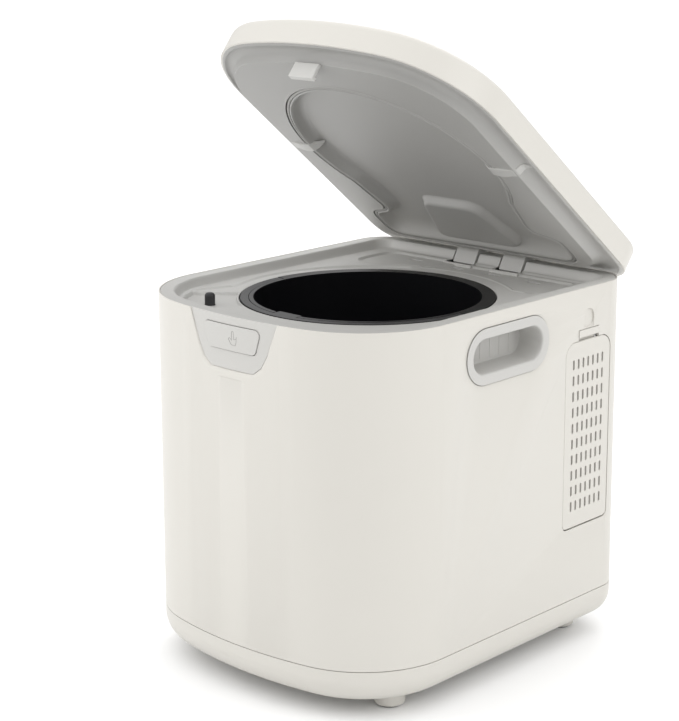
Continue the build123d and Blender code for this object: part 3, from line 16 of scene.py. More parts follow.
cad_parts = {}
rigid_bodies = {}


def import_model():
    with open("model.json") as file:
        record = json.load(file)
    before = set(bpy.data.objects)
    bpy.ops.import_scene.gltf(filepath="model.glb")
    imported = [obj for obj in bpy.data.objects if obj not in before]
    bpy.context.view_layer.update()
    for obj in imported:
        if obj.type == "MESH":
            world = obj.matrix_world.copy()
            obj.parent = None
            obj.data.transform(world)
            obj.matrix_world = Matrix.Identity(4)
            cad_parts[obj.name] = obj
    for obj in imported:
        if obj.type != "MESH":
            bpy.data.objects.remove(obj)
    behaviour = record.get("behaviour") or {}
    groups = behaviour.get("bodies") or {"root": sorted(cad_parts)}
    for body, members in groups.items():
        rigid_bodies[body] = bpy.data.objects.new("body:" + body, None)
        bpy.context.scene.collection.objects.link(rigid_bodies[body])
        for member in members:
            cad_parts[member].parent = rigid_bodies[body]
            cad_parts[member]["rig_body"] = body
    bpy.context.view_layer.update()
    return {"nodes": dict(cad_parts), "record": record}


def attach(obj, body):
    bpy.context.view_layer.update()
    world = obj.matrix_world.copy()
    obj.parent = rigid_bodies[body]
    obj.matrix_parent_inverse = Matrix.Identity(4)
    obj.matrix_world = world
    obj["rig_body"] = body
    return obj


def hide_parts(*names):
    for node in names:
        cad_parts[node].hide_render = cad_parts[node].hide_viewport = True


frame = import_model()
nodes = frame["nodes"]
bpy.ops.object.select_all(action="DESELECT")

# %% [markdown]
# ## Sizes
# These are the lengths, in metres, that several new pieces share. They could be typed into each
# piece, but then a piece that wraps round the cabinet and one that sits in it might drift apart.
# The machine with its lid open is centred front to back, so the lid's overhang places the cabinet.

# %% Sizes of the cabinet
width, depth, rim = 0.280, 0.331, 0.310
hinge_in, hinge_drop, open_angle = 0.006, 0.012, radians(39.0)
lid_gap, lid_side, lid_edge = 0.0015, 0.018, 0.006
overhang = (sin(open_angle) * (hinge_drop + lid_gap + lid_side)
            + cos(open_angle) * (hinge_in - lid_edge) + lid_edge - hinge_in)
middle = -overhang / 2
front, rear = middle - depth / 2, middle + depth / 2
well_y = middle - 0.0085
print("cabinet from", round(front, 4), "to", round(rear, 4))

# %% [markdown]
# ## Camera and room
# A product like this is shown from a little above one front corner. A short lens close by would
# splay the cabinet's sides, so a long lens stands about a metre and a half away and keeps them nearly
# parallel. Hard lamps would burn spots into the pale plastic, so the room is a white floor under big
# square lights, with a sky that is brighter overhead.

# %% Camera
yaw, pitch, roll = radians(43.13), radians(12.65), radians(-0.22)
focal_pixels, render_pixels, sensor_size = 1933.9, 721.0, 36.0
forward = Vector((-sin(yaw) * cos(pitch), cos(yaw) * cos(pitch), -sin(pitch)))
right = Vector((cos(yaw), sin(yaw), 0.0))
up = right.cross(forward)
right, up = right * cos(roll) + up * sin(roll), up * cos(roll) - right * sin(roll)
bpy.ops.object.camera_add(location=(1.0466, middle - 1.1586, rim + 0.3364))
camera = bpy.context.object
camera.name = "studio_camera"
camera.rotation_euler = Matrix((right, up, -forward)).transposed().to_euler()
camera.data.lens = focal_pixels * sensor_size / render_pixels
camera.data.shift_x = -0.00125
camera.data.shift_y = -0.0845
bpy.context.scene.camera = camera
print("lens", round(camera.data.lens, 1), "mm")

# %% Floor
bpy.ops.mesh.primitive_plane_add(size=40.0, location=(0, 0, 0))
floor = bpy.context.object
floor.name = "studio_floor"
print("floor", round(floor.dimensions.x, 1), "m wide")


# %% Lights
def soft_light(name, place, target, size, watts):
    """A large square light that points at the target."""
    bpy.ops.object.light_add(type="AREA", location=place)
    light = bpy.context.object
    light.name = name
    light.data.size = size
    light.data.energy = watts
    light.rotation_euler = (Vector(target) - Vector(place)).to_track_quat("-Z", "Y").to_euler()
    print("light", name, watts, "W")


cabinet_heart, lid_heart = (0, 0, 0.2), (0, 0.1, 0.36)
soft_light("light_left", (-1.9, -1.7, 1.6), cabinet_heart, 1.9, 12.0)
soft_light("light_right", (2.2, 0.3, 1.4), cabinet_heart, 1.6, 12.0)
soft_light("light_back", (-0.9, 1.9, 2.0), cabinet_heart, 1.2, 9.0)
soft_light("light_low", (-1.3, -1.5, 0.55), lid_heart, 1.3, 4.0)

# %% Sky
low_sky, high_sky = 0.58, 1.62
world = bpy.data.worlds.new("studio")
world.use_nodes = True
sky = world.node_tree
background = sky.nodes["Background"]
background.inputs["Color"].default_value = (1.0, 1.0, 1.0, 1.0)
facing = sky.nodes.new("ShaderNodeTexCoord")
ways = sky.nodes.new("ShaderNodeSeparateXYZ")
rise = sky.nodes.new("ShaderNodeMapRange")
rise.inputs["To Min"].default_value = low_sky
rise.inputs["To Max"].default_value = high_sky
sky.links.new(facing.outputs["Generated"], ways.inputs["Vector"])
sky.links.new(ways.outputs["Z"], rise.inputs["Value"])
sky.links.new(rise.outputs["Result"], background.inputs["Strength"])
bpy.context.scene.world = world
bpy.context.scene.view_settings.view_transform = "Standard"
print("sky from", low_sky, "to", high_sky)

# %% [markdown]
# ## Surface effects
# Moulded plastic is never quite even: it has a fine eroded grain and slight clouds of tone. Its group
# can also paint in light: the colour is painted paler toward the rear, where the open lid shades a part.
# Turned or drawn metal has fine lines instead. Each material could carry its own nodes, but a node group
# is built once and takes each material's own scale and strength.

# %% Node helpers
def new_group(name, inputs, outputs):
    """A shader node group with number or colour sockets; returns the tree and its two ends."""
    tree = bpy.data.node_groups.new(name, "ShaderNodeTree")
    for label, kind, value in inputs:
        socket = tree.interface.new_socket(name=label, in_out="INPUT", socket_type=kind)
        socket.default_value = value
    for label, kind in outputs:
        tree.interface.new_socket(name=label, in_out="OUTPUT", socket_type=kind)
    return tree, tree.nodes.new("NodeGroupInput"), tree.nodes.new("NodeGroupOutput")


def node(tree, kind, **values):
    """Adds a node and sets its named properties."""
    made = tree.nodes.new(kind)
    for key, value in values.items():
        setattr(made, key, value)
    return made


surface_outputs = [("Color", "NodeSocketColor"), ("Roughness", "NodeSocketFloat"),
                   ("Normal", "NodeSocketVector")]
grain_height = 0.0002

# %% Moulded grain, with a socket for painted light
grain, grain_in, grain_out = new_group(
    "moulded_grain_and_painted_light",
    [("Color", "NodeSocketColor", (0.8, 0.8, 0.8, 1.0)), ("Grain Scale", "NodeSocketFloat", 2600.0),
     ("Grain Depth", "NodeSocketFloat", 0.05), ("Cloud", "NodeSocketFloat", 0.03),
     ("Roughness", "NodeSocketFloat", 0.5), ("Painted Rear Light", "NodeSocketFloat", 0.0)],
    surface_outputs)
place = node(grain, "ShaderNodeTexCoord")
link = grain.links.new

# %% The grain itself, as a bump
speckle = node(grain, "ShaderNodeTexNoise")
speckle.inputs["Detail"].default_value = 2.0
bump = node(grain, "ShaderNodeBump")
bump.inputs["Distance"].default_value = grain_height
link(place.outputs["Object"], speckle.inputs["Vector"])
link(grain_in.outputs["Grain Scale"], speckle.inputs["Scale"])
link(speckle.outputs["Fac"], bump.inputs["Height"])
link(grain_in.outputs["Grain Depth"], bump.inputs["Strength"])
link(bump.outputs["Normal"], grain_out.inputs["Normal"])

# %% Clouds, from minus a half to a half, in tone and in roughness
cloud = node(grain, "ShaderNodeTexNoise")
cloud.inputs["Scale"].default_value = 9.0
cloud.inputs["Detail"].default_value = 3.0
shade = node(grain, "ShaderNodeMath", operation="SUBTRACT")
shade.inputs[1].default_value = 0.5
tone = node(grain, "ShaderNodeMath", operation="MULTIPLY_ADD")
tone.inputs[2].default_value = 1.0
rough = node(grain, "ShaderNodeMath", operation="MULTIPLY_ADD")
rough.inputs[1].default_value = 0.12
link(place.outputs["Object"], cloud.inputs["Vector"])
link(cloud.outputs["Fac"], shade.inputs[0])
link(shade.outputs[0], tone.inputs[0])
link(grain_in.outputs["Cloud"], tone.inputs[1])
link(shade.outputs[0], rough.inputs[0])
link(grain_in.outputs["Roughness"], rough.inputs[2])
link(rough.outputs[0], grain_out.inputs["Roughness"])

# %% Painted light: paler toward the rear, where the open lid shades the part
painted_light_axis = node(grain, "ShaderNodeSeparateXYZ")
painted_rear_light = node(grain, "ShaderNodeMath", operation="MULTIPLY_ADD")
cloud_tone_and_painted_light = node(grain, "ShaderNodeHueSaturation")
link(place.outputs["Object"], painted_light_axis.inputs[0])
link(painted_light_axis.outputs["Y"], painted_rear_light.inputs[0])
link(grain_in.outputs["Painted Rear Light"], painted_rear_light.inputs[1])
link(tone.outputs[0], painted_rear_light.inputs[2])
link(painted_rear_light.outputs[0], cloud_tone_and_painted_light.inputs["Value"])
link(grain_in.outputs["Color"], cloud_tone_and_painted_light.inputs["Color"])
link(cloud_tone_and_painted_light.outputs["Color"], grain_out.inputs["Color"])
print("group", grain.name, "sockets", len(grain.interface.items_tree))

# %% Brushed lines
brushed, brushed_in, brushed_out = new_group(
    "brushed_lines",
    [("Color", "NodeSocketColor", (0.6, 0.6, 0.6, 1.0)), ("Roughness", "NodeSocketFloat", 0.3)],
    surface_outputs)
place = node(brushed, "ShaderNodeTexCoord")
stretch = node(brushed, "ShaderNodeMapping")
stretch.inputs["Scale"].default_value = (60.0, 60.0, 4200.0)
lines = node(brushed, "ShaderNodeTexNoise")
lines.inputs["Scale"].default_value = 1.0
bump = node(brushed, "ShaderNodeBump")
bump.inputs["Strength"].default_value = 0.12
bump.inputs["Distance"].default_value = grain_height
rough = node(brushed, "ShaderNodeMath", operation="MULTIPLY_ADD")
rough.inputs[1].default_value = 0.2
link = brushed.links.new
link(place.outputs["Object"], stretch.inputs["Vector"])
link(stretch.outputs["Vector"], lines.inputs["Vector"])
link(lines.outputs["Fac"], bump.inputs["Height"])
link(lines.outputs["Fac"], rough.inputs[0])
link(brushed_in.outputs["Roughness"], rough.inputs[2])
link(brushed_in.outputs["Color"], brushed_out.inputs["Color"])
link(rough.outputs[0], brushed_out.inputs["Roughness"])
link(bump.outputs["Normal"], brushed_out.inputs["Normal"])
print("group", brushed.name)

# %% [markdown]
# ## Materials
# The machine is mostly three plastics: cream outside, grey on the deck and lid, black in the bucket.
# A plain colour would look like paint, so each finish is one Principled shader whose colour,
# roughness and normal come from a group above, and what is even all over is typed into the shader.

# %% Material helpers
def surfaced(name, effect_group, values):
    """A material fed by an effect group with its own values; returns it and its shader."""
    made = bpy.data.materials.new(name)
    made.use_nodes = True
    tree = made.node_tree
    shader = tree.nodes["Principled BSDF"]
    effect = node(tree, "ShaderNodeGroup", node_tree=effect_group)
    for label, value in values.items():
        effect.inputs[label].default_value = value
    for output, label in (("Color", "Base Color"), ("Roughness", "Roughness"), ("Normal", "Normal")):
        tree.links.new(effect.outputs[output], shader.inputs[label])
    print("finish", name)
    return made, shader


def plastic(name, color, roughness, scale=2600.0, depth=0.05, cloudy=0.03, specular=0.5, painted_rear_light=0.0):
    """A moulded plastic with its own grain; the last value paints in light: how much paler the colour is
    painted per metre to the rear.
    """
    made, shader = surfaced(name, grain, {"Color": (*color, 1.0), "Grain Scale": scale, "Grain Depth": depth,
                                          "Cloud": cloudy, "Roughness": roughness, "Painted Rear Light": painted_rear_light})
    shader.inputs["Specular IOR Level"].default_value = specular
    return made


def metal(name, color, roughness):
    """A bare metal with fine lines."""
    made, shader = surfaced(name, brushed, {"Color": (*color, 1.0), "Roughness": roughness})
    shader.inputs["Metallic"].default_value = 1.0
    return made


# %% The finishes
finishes = {
    "cream_shell": plastic("cream_plastic", (0.585, 0.567, 0.525), 0.38, depth=0.03),
    # The deck and lining carry painted light: their colour is painted paler toward the rear, where the open
    # lid shades them.
    "deck_grey": plastic("deck_plastic_painted_light", (0.50, 0.494, 0.475), 0.45, scale=1900.0, depth=0.08, painted_rear_light=1.5),
    # The lining's grey is painted darker than the deck's grey, as painted shade under the open lid.
    "lining_grey": plastic("lining_plastic_painted_light_and_shade", (0.36, 0.355, 0.34), 0.42, scale=1900.0, depth=0.07, painted_rear_light=2.0),
    "seal_grey": plastic("seal_rubber_pale", (0.33, 0.325, 0.31), 0.6, scale=1500.0, depth=0.1),
    "lug_grey": plastic("clip_plastic", (0.50, 0.495, 0.475), 0.42, scale=1900.0, depth=0.05),
    "cup_grey": plastic("cup_plastic", (0.49, 0.483, 0.463), 0.45, scale=1900.0, depth=0.06),
    "bezel_grey": plastic("bezel_plastic", (0.50, 0.492, 0.47), 0.45, scale=1900.0, depth=0.06),
    "bucket_black": plastic("bucket_enamel", (0.006, 0.006, 0.007), 0.3, scale=700.0, depth=0.05,
                            specular=0.15),
    "bail_grey": plastic("bail_plastic", (0.04, 0.04, 0.041), 0.35, depth=0.03, specular=0.12),
    "rubber_dark": plastic("seal_rubber", (0.12, 0.12, 0.12), 0.7, scale=1500.0, depth=0.1),
    "dark_plastic": plastic("dark_plastic", (0.03, 0.03, 0.032), 0.5),
    "steel": metal("brushed_steel", (0.56, 0.56, 0.57), 0.28),
    "aluminium": metal("spun_aluminium", (0.7, 0.7, 0.71), 0.35),
    "brass": metal("machined_brass", (0.66, 0.47, 0.2), 0.3),
    "gear_white": plastic("acetal", (0.75, 0.75, 0.72), 0.35),
    "board_green": plastic("board_lacquer", (0.02, 0.09, 0.04), 0.3),
    "filter_felt": plastic("carbon_felt", (0.02, 0.02, 0.02), 0.9, scale=900.0, depth=0.4),
}
floor.data.materials.append(plastic("studio_paper", (0.9, 0.9, 0.9), 0.8, depth=0.01, cloudy=0.01))

# %% Dressing the solids
slot_of = {part["node"]: part["material_slot"] for part in frame["record"]["subparts"]}
for name, solid in nodes.items():
    solid.data.materials.clear()
    solid.data.materials.append(finishes[slot_of[name]])
print("dressed", len(nodes), "solids")

# %% [markdown]
# ## Shells with rounded edges
# A moulding has no knife edges: every outer corner carries a small radius that catches the light.
# These shells could be modelled again from scratch, but the engineering solids already have the right
# form. So a copy of each is merged, its flat areas are joined again, and its edges are rounded.

# %% Choosing one object
def chosen(piece):
    """Selects one object alone and makes it the active one."""
    bpy.ops.object.select_all(action="DESELECT")
    piece.select_set(True)
    bpy.context.view_layer.objects.active = piece


# %% Rounding and shading
smooth_angle, rounding_steps = radians(35.0), 2


def softened(piece, radius, sharp, smooth=smooth_angle):
    """Rounds the sharp edges of the active object, if a radius is given, and shades it smoothly."""
    if radius:
        rounding = piece.modifiers.new("rounding", "BEVEL")
        rounding.width, rounding.segments = radius, rounding_steps
        rounding.limit_method, rounding.angle_limit = "ANGLE", sharp
        bpy.ops.object.modifier_apply(modifier="rounding")
    bpy.ops.object.shade_smooth_by_angle(angle=smooth)
    weighted = piece.modifiers.new("weighted", "WEIGHTED_NORMAL")
    weighted.keep_sharp = True
    bpy.ops.object.modifier_apply(modifier="weighted")


# %% Refining tool
def refined(name, radius):
    """A copy of a solid with rounded edges, riding on its body and standing for it."""
    source = nodes[name]
    piece = bpy.data.objects.new("fine_" + name, source.data.copy())
    bpy.context.scene.collection.objects.link(piece)
    chosen(piece)
    bpy.ops.object.mode_set(mode="EDIT")
    bpy.ops.mesh.select_all(action="SELECT")
    bpy.ops.mesh.remove_doubles(threshold=0.00001)
    bpy.ops.mesh.dissolve_limited(angle_limit=radians(0.5))
    bpy.ops.object.mode_set(mode="OBJECT")
    softened(piece, radius, sharp=radians(30.0))
    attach(piece, source["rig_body"])
    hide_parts(name)
    print("refined", name, len(piece.data.polygons), "faces")
    return piece


# %% The refined shells
edge_radius = {
    "body_shell": 0.0004, "base_shell": 0.0004, "lid_shell": 0.0007, "front_bezel": 0.0004,
    "open_button": 0.0009, "filter_cover": 0.0003, "filter_cover_latch": 0.0004, "feet": 0.0004,
    "bucket": 0.0003, "bucket_handle": 0.0002, "lid_switch_plunger": 0.0002, "stirrer": 0.0006,
}
fine = {name: refined(name, radius) for name, radius in edge_radius.items()}
fine["filter_cover_latch"].data.materials[0] = finishes["cream_shell"]

# %% [markdown]
# ## Outlines drawn as points
# The cabinet's plan is a bowed front between two large corners, straight sides and a flat back. It
# could be drawn as a curve and offset, but offsets change the number of points. Here each outline is
# always the same number of points, so two of them match and the skin between is four-sided faces.

# %% Arcs and straight runs
crown, side_corner, back_corner = 0.361, 0.084, 0.028
crown_y = front + crown
corner_x = width / 2 - side_corner
corner_y = crown_y - sqrt((crown - side_corner) ** 2 - corner_x ** 2)
slope = -atan2(corner_y - crown_y, corner_x)


def arc(x, y, radius, start, end, count):
    """Points on an arc, without its last one; angles in radians."""
    steps = [start + (end - start) * number / count for number in range(count)]
    return [(x + radius * cos(angle), y + radius * sin(angle)) for angle in steps]


def run(a, b, count):
    """Points on a straight line, without its last one."""
    return [(a[0] + (b[0] - a[0]) * number / count, a[1] + (b[1] - a[1]) * number / count)
            for number in range(count)]


# %% Outline of the cabinet
def plan_points(inset, rear_inset=None, rear_radius=None, fine=1):
    """The plan of the cabinet drawn in by a distance, anticlockwise from the right side."""
    back = rear - (inset if rear_inset is None else rear_inset)
    side = width / 2 - inset
    bend = back_corner - inset if rear_radius is None else rear_radius
    points = run((side, corner_y), (side, back - bend), 12 * fine)
    points += arc(side - bend, back - bend, bend, 0, pi / 2, 12 * fine)
    points += run((side - bend, back), (bend - side, back), 24 * fine)
    points += arc(bend - side, back - bend, bend, pi / 2, pi, 12 * fine)
    points += run((-side, back - bend), (-side, corner_y), 12 * fine)
    points += arc(-corner_x, corner_y, side_corner - inset, pi, pi + slope, 28 * fine)
    points += arc(0, crown_y, crown - inset, pi + slope, 2 * pi - slope, 28 * fine)
    points += arc(corner_x, corner_y, side_corner - inset, -slope, 0, 28 * fine)
    return points


print("points in the plan:", len(plan_points(0.0)))


# %% Bends between two directions
def bend_points(corner, before, after, bend, least, grow, count):
    """Points round a corner between two directions, moved outwards by a distance."""
    turn = -before.angle_signed(after)
    outward = Vector((before.y + after.y, -before.x - after.x)).normalized()
    corner = corner + outward * grow / cos(turn / 2)
    reach = max(bend + (grow if turn > 0 else -grow), least) * tan(abs(turn) / 2)
    first, last = corner - before * reach, corner + after * reach
    steps = [step / count for step in range(count + 1)]
    points = [first * (1 - t) ** 2 + corner * 2 * t * (1 - t) + last * t ** 2 for t in steps]
    return [(point.x, point.y) for point in points]


def rounded_outline(corners, bends, grow=0.0, count=8):
    """Rounded polygon, anticlockwise, moved outwards by a distance."""
    points = [Vector(corner) for corner in corners]
    outline = []
    for number, bend in enumerate(bends):
        corner = points[number]
        before = (corner - points[number - 1]).normalized()
        after = (points[(number + 1) % len(points)] - corner).normalized()
        outline += bend_points(corner, before, after, bend, 0.0003, grow, count)
    return outline


# %% Outline of the lid seal
groove_y, groove_radius, neck_angle = middle - 0.0125, 0.102, radians(31.0)
waist, shoulder, bell_back = (0.079, rear - 0.0795), (0.105, rear - 0.0705), rear - 0.032
bell_bends = (0.012, 0.012, 0.015, 0.017)


def bell_points(grow, rear_in=0.0):
    """The bell-shaped line of the lid seal, widened by a distance; its back can be drawn in."""
    neck = (groove_radius * cos(neck_angle), groove_y + groove_radius * sin(neck_angle))
    back = bell_back - rear_in
    corners = [Vector(point) for point in (neck, waist, shoulder, (shoulder[0], back), (-shoulder[0], back))]
    ways = [Vector((-sin(neck_angle), cos(neck_angle)))]
    ways += [(b - a).normalized() for a, b in zip(corners, corners[1:])]
    side = []
    for corner, bend, before, after in zip(corners, bell_bends, ways, ways[1:]):
        side += bend_points(corner, before, after, bend, 0.0012, grow, 10)
    other = [(-x, y) for x, y in reversed(side)]
    begin = atan2(other[-1][1] - groove_y, other[-1][0]) % (2 * pi)
    end = 2 * pi + atan2(side[0][1] - groove_y, side[0][0])
    front_arc = arc(0, groove_y, groove_radius + grow, begin, end, 90)
    return front_arc + side + run(side[-1], other[0], 20)[1:] + other[:-1]


print("points in the bell:", len(bell_points(0.0)))


# %% [markdown]
# ## A form drawn ring by ring
# Most of what shows here is a moulding with soft edges. Cutting it from a block would leave hard
# edges that are difficult to round. So it is raised as a potter would do it: one flat disc takes the
# shape of the first outline, and its face is extruded again and again, each time set to the next
# outline and height. An end is left open where a form is welded into a ring or joined to another.

# %% Raising tool
def finder(points):
    """A tree that finds the number of the nearest point."""
    tree = KDTree(len(points))
    for number, point in enumerate(points):
        tree.insert(point, number)
    tree.balance()
    return tree


def raised(name, rings, open_start=False, open_end=False):
    """A disc extruded from ring to ring; a ring is a list of (x, y, z) points."""
    bpy.ops.object.select_all(action="DESELECT")
    bpy.ops.mesh.primitive_circle_add(vertices=len(rings[0]), fill_type="NGON", location=(0, 0, 0))
    piece = bpy.context.object
    piece.name = piece.data.name = name
    for vertex, point in zip(piece.data.vertices, rings[0]):
        vertex.co = point
    bpy.ops.object.mode_set(mode="EDIT")
    bpy.ops.mesh.select_mode(type="FACE")
    bpy.ops.mesh.select_all(action="SELECT")
    for before, after in zip(rings, rings[1:]):
        bpy.ops.mesh.extrude_region_move()
        mesh = bmesh.from_edit_mesh(piece.data)
        old = finder(before)
        for vertex in [vertex for vertex in mesh.verts if vertex.select]:
            vertex.co = after[old.find(vertex.co)[1]]
        bmesh.update_edit_mesh(piece.data)
    bpy.ops.mesh.select_all(action="SELECT")
    bpy.ops.mesh.normals_make_consistent(inside=False)
    for wanted, ring in ((open_start, rings[0]), (open_end, rings[-1])):
        if wanted:
            mesh = bmesh.from_edit_mesh(piece.data)
            spot = finder(ring)
            for face in mesh.faces:
                face.select_set(len(face.verts) == len(ring) and spot.find(face.verts[0].co)[2] < 1e-6)
            bmesh.update_edit_mesh(piece.data)
            bpy.ops.mesh.delete(type="FACE")
    bpy.ops.object.mode_set(mode="OBJECT")
    return piece


def level(points, height):
    """Lifts flat points to a height."""
    return [(x, y, height) for x, y in points]


# %% Welding and joining
def welded(piece):
    """Merges points that lie on each other and turns all faces outwards."""
    chosen(piece)
    bpy.ops.object.mode_set(mode="EDIT")
    bpy.ops.mesh.select_all(action="SELECT")
    bpy.ops.mesh.remove_doubles(threshold=0.000002)
    bpy.ops.mesh.normals_make_consistent(inside=False)
    bpy.ops.object.mode_set(mode="OBJECT")
    return piece


def joined(first, *others):
    """Several meshes as one, under the name of the first."""
    chosen(first)
    for piece in others:
        piece.select_set(True)
    bpy.ops.object.join()
    return first


# %% Finishing
def finished(piece, body, slot, *stands_for, smooth=smooth_angle, round_edges=None, look=None):
    """Softens a piece, gives it its finish and its body, and hides what it stands for."""
    chosen(piece)
    softened(piece, round_edges, smooth_angle, smooth)
    piece.data.materials.clear()
    piece.data.materials.append(finishes[look or slot])
    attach(piece, body)
    if stands_for:
        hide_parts(*stands_for)
    print(piece.name, len(piece.data.polygons), "faces")


# %% [markdown]
# ## Inside of the lid
# The lining is one grey moulding. From the cream edge it runs in as a wide hollow band, climbs a
# bright ridge and becomes a flat field. A bell-shaped groove for the seal is let into the field,
# and inside the groove the lining sinks into a soft tub. It could be modelled where it hangs, on the
# slope of the open lid, but shut all its heights are level, so it is raised shut and then swung open.

# %% Swinging the lid
hinge = Vector((0, rear - hinge_in, rim - hinge_drop))
swing = Matrix.Translation(hinge) @ Matrix.Rotation(-open_angle, 4, "X") @ Matrix.Translation(-hinge)


def swung(piece):
    """Turns a piece made on the shut lid to where the open lid holds it."""
    chosen(piece)
    piece.matrix_world = swing @ piece.matrix_world
    bpy.ops.object.transform_apply(location=True, rotation=True, scale=True)
    return piece


# %% Band and ridge: inset at the sides, inset at the back, height over the rim
band_profile = ((0.0018, 0.0018, 0.0040), (0.0018, 0.0018, 0.0016), (0.0023, 0.0023, 0.0009),
                (0.0034, 0.0034, 0.0004), (0.0046, 0.0048, 0.0005))
ridge_profile = ((0.0054, 0.0060, 0.0012), (0.0064, 0.0075, 0.0021), (0.0082, 0.0105, 0.0025),
                 (0.0104, 0.0145, 0.0022), (0.0124, 0.0180, 0.0014), (0.0138, 0.0206, 0.0003),
                 (0.0148, 0.0226, -0.0013), (0.0158, 0.0246, -0.0034), (0.0168, 0.0266, -0.0058),
                 (0.0171, 0.0272, -0.00635), (0.0174, 0.0278, -0.0065))
ridge_corner = 0.022
rings = [level(plan_points(side, back), rim + height) for side, back, height in band_profile]
rings += [level(plan_points(side, back, ridge_corner), rim + height) for side, back, height in ridge_profile]
band = raised("lid_lining", rings, open_end=True)
print("band rings", len(rings))

# %% Groove: how far outside the seal line, height over the field
field_z = rim - 0.0065
groove_profile = ((0.0036, 0.0), (0.0031, -0.0003), (0.0025, -0.0004), (0.0018, -0.0004), (0.0013, -0.0003),
                  (0.0012, 0.0027), (-0.0022, 0.0027), (-0.0023, 0.0002), (-0.0028, -0.0002))
rings = [level(bell_points(grow), field_z + height) for grow, height in groove_profile]

# %% Tub: how far outside the seal line, how far in at the back, height over the field
tub_profile = ((-0.0036, 0.0001, -0.0002), (-0.0045, 0.0003, 0.0005), (-0.0054, 0.0010, 0.0022),
               (-0.0066, 0.0020, 0.0048), (-0.0080, 0.0040, 0.0069), (-0.0096, 0.0060, 0.0079),
               (-0.0110, 0.0080, 0.0084), (-0.0122, 0.0090, 0.0085))
rings += [level(bell_points(grow, back), field_z + height) for grow, back, height in tub_profile]
tub = raised("lid_tub", rings, open_start=True)
print("groove and tub rings", len(rings))

# %% Closing the field between the band and the groove
lining = joined(band, tub)
bpy.ops.object.mode_set(mode="EDIT")
bpy.ops.mesh.select_mode(type="EDGE")
bpy.ops.mesh.select_all(action="DESELECT")
bpy.ops.mesh.select_non_manifold()
bpy.ops.mesh.fill(use_beauty=False)
bpy.ops.mesh.select_all(action="SELECT")
bpy.ops.mesh.normals_make_consistent(inside=False)
bpy.ops.object.mode_set(mode="OBJECT")
finished(swung(lining), "lid", "deck_grey", "lid_liner", look="lining_grey")

# %% Seal in the groove
seal_profile = ((0.0005, 0.0027), (0.0004, 0.0006), (0.0000, 0.0001), (-0.0006, -0.0001), (-0.0012, -0.0001),
                (-0.0018, 0.0001), (-0.0021, 0.0006), (-0.0022, 0.0027))
rings = [level(bell_points(grow), field_z + height) for grow, height in seal_profile]
seal = raised("lid_seal_bead", rings + rings[:1], open_start=True, open_end=True)
finished(swung(welded(seal)), "lid", "rubber_dark", "lid_seal", look="seal_grey")

# %% [markdown]
# ## Duct cover, clips and hook
# The air from the bucket passes under a raised cover at the back of the lid. Two small clips hold
# the lining across the groove, and the hook at the front drops into the latch. A bevelled block
# would do for a cover, but not for one that tapers, so the cover is raised from rounded outlines
# with a fillet at its foot. A clip is a bent tongue, raised along its length from cross-sections.

# %% Duct cover
duct_front, duct_back, tub_z = rear - 0.0960, rear - 0.0400, rim + 0.002
duct_corners = ((-0.0275, duct_front), (0.0275, duct_front), (0.0445, duct_back), (-0.0445, duct_back))
duct_bends = (0.010, 0.014, 0.010, 0.008)
duct_profile = ((0.0075, 0.0004), (0.0058, -0.0002), (0.0046, -0.0012), (0.0036, -0.0028),
                (0.0026, -0.0046), (0.0014, -0.0060), (0.0, -0.0066), (-0.0020, -0.0068))
rings = [level(rounded_outline(duct_corners, duct_bends, grow), tub_z + height)
         for grow, height in duct_profile]
finished(swung(raised("duct_cover", rings)), "lid", "deck_grey", "lid_duct_cover", look="lining_grey")

# %% Clips: distance from the middle, half the width, height of the lower face over the rim
clip_y, clip_thick, clip_top, clip_point = groove_y, 0.003, -0.0062, 0.0003
clip_plan = ((0.0880, 0.0, -0.0010), (0.0940, 0.0034, -0.0050), (0.0985, 0.0048, -0.0078),
             (0.1068, 0.0052, -0.0083), (0.1120, 0.0052, -0.0078), (0.1168, 0.0048, -0.0069),
             (0.1212, 0.0044, -0.0068), (0.1243, 0.0038, -0.0046), (0.1262, 0.0034, -0.0007),
             (0.1276, 0.0031, 0.0006), (0.1362, 0.0, 0.0010))


def clip_section(x, half, low):
    """Four corners of a clip's cross-section."""
    half, high = max(half, clip_point), max(low, clip_top) + clip_thick
    return [(x, clip_y + y, rim + z) for y, z in ((-half, low), (half, low), (half, high), (-half, high))]


clips = [raised("lid_clip", [clip_section(side * x, half, low) for x, half, low in clip_plan])
         for side in (-1, 1)]
finished(swung(joined(*clips)), "lid", "deck_grey", "lid_clips", smooth=radians(20.0), round_edges=0.0004,
         look="lug_grey")

# %% Hook
hook = refined("lid_hook", 0.0006)
hook.data.materials[0] = finishes["lug_grey"]

# %% [markdown]
# ## Hinge arms
# Two arms reach from the lid down into pockets of the deck, where the hinge pins run. The solids'
# own arms are bulkier. Slim ones could be cut from a block, but they are flat plates with a bowed
# nose, so each is one profile seen from the side, raised across the arm's width.

# %% Hinge arms
arm_x, arm_half = 0.026, 0.012
arm_profile = ((-0.0120, -0.0058), (-0.0141, 0.0055), (-0.0141, 0.0160), (-0.0010, 0.0160),
               (0.0030, 0.0130), (0.0060, 0.0), (0.0042, -0.0042), (0.0, -0.0060))
arms = []
for side in (-1, 1):
    rings = [[(x, hinge.y + y, hinge.z + z) for y, z in arm_profile]
             for x in (side * arm_x - arm_half, side * arm_x + arm_half)]
    arms.append(raised("hinge_arm", rings))
finished(swung(joined(*arms)), "lid", "deck_grey", "hinge_arms", round_edges=0.0005)


# %% [markdown]
# ## Deck
# The grey deck is one shallow tray: a flat band round the top, a soft step down to the ledge, a
# dish round the well, a corner pocket for the lid switch and a shallow air recess behind the well.
# These could be cut one by one, but they run into each other, and each cut would need its own
# fillet. So the height is worked out point by point as a sum of soft steps, and the tray is raised
# from the outer edge inwards through many close rings.

# %% Soft steps
def soft(distance, width_of_step):
    """Runs smoothly from 0 to 1 while the distance runs over the width of the step."""
    t = min(max(distance / width_of_step, 0.0), 1.0)
    return t * t * (3 - 2 * t)


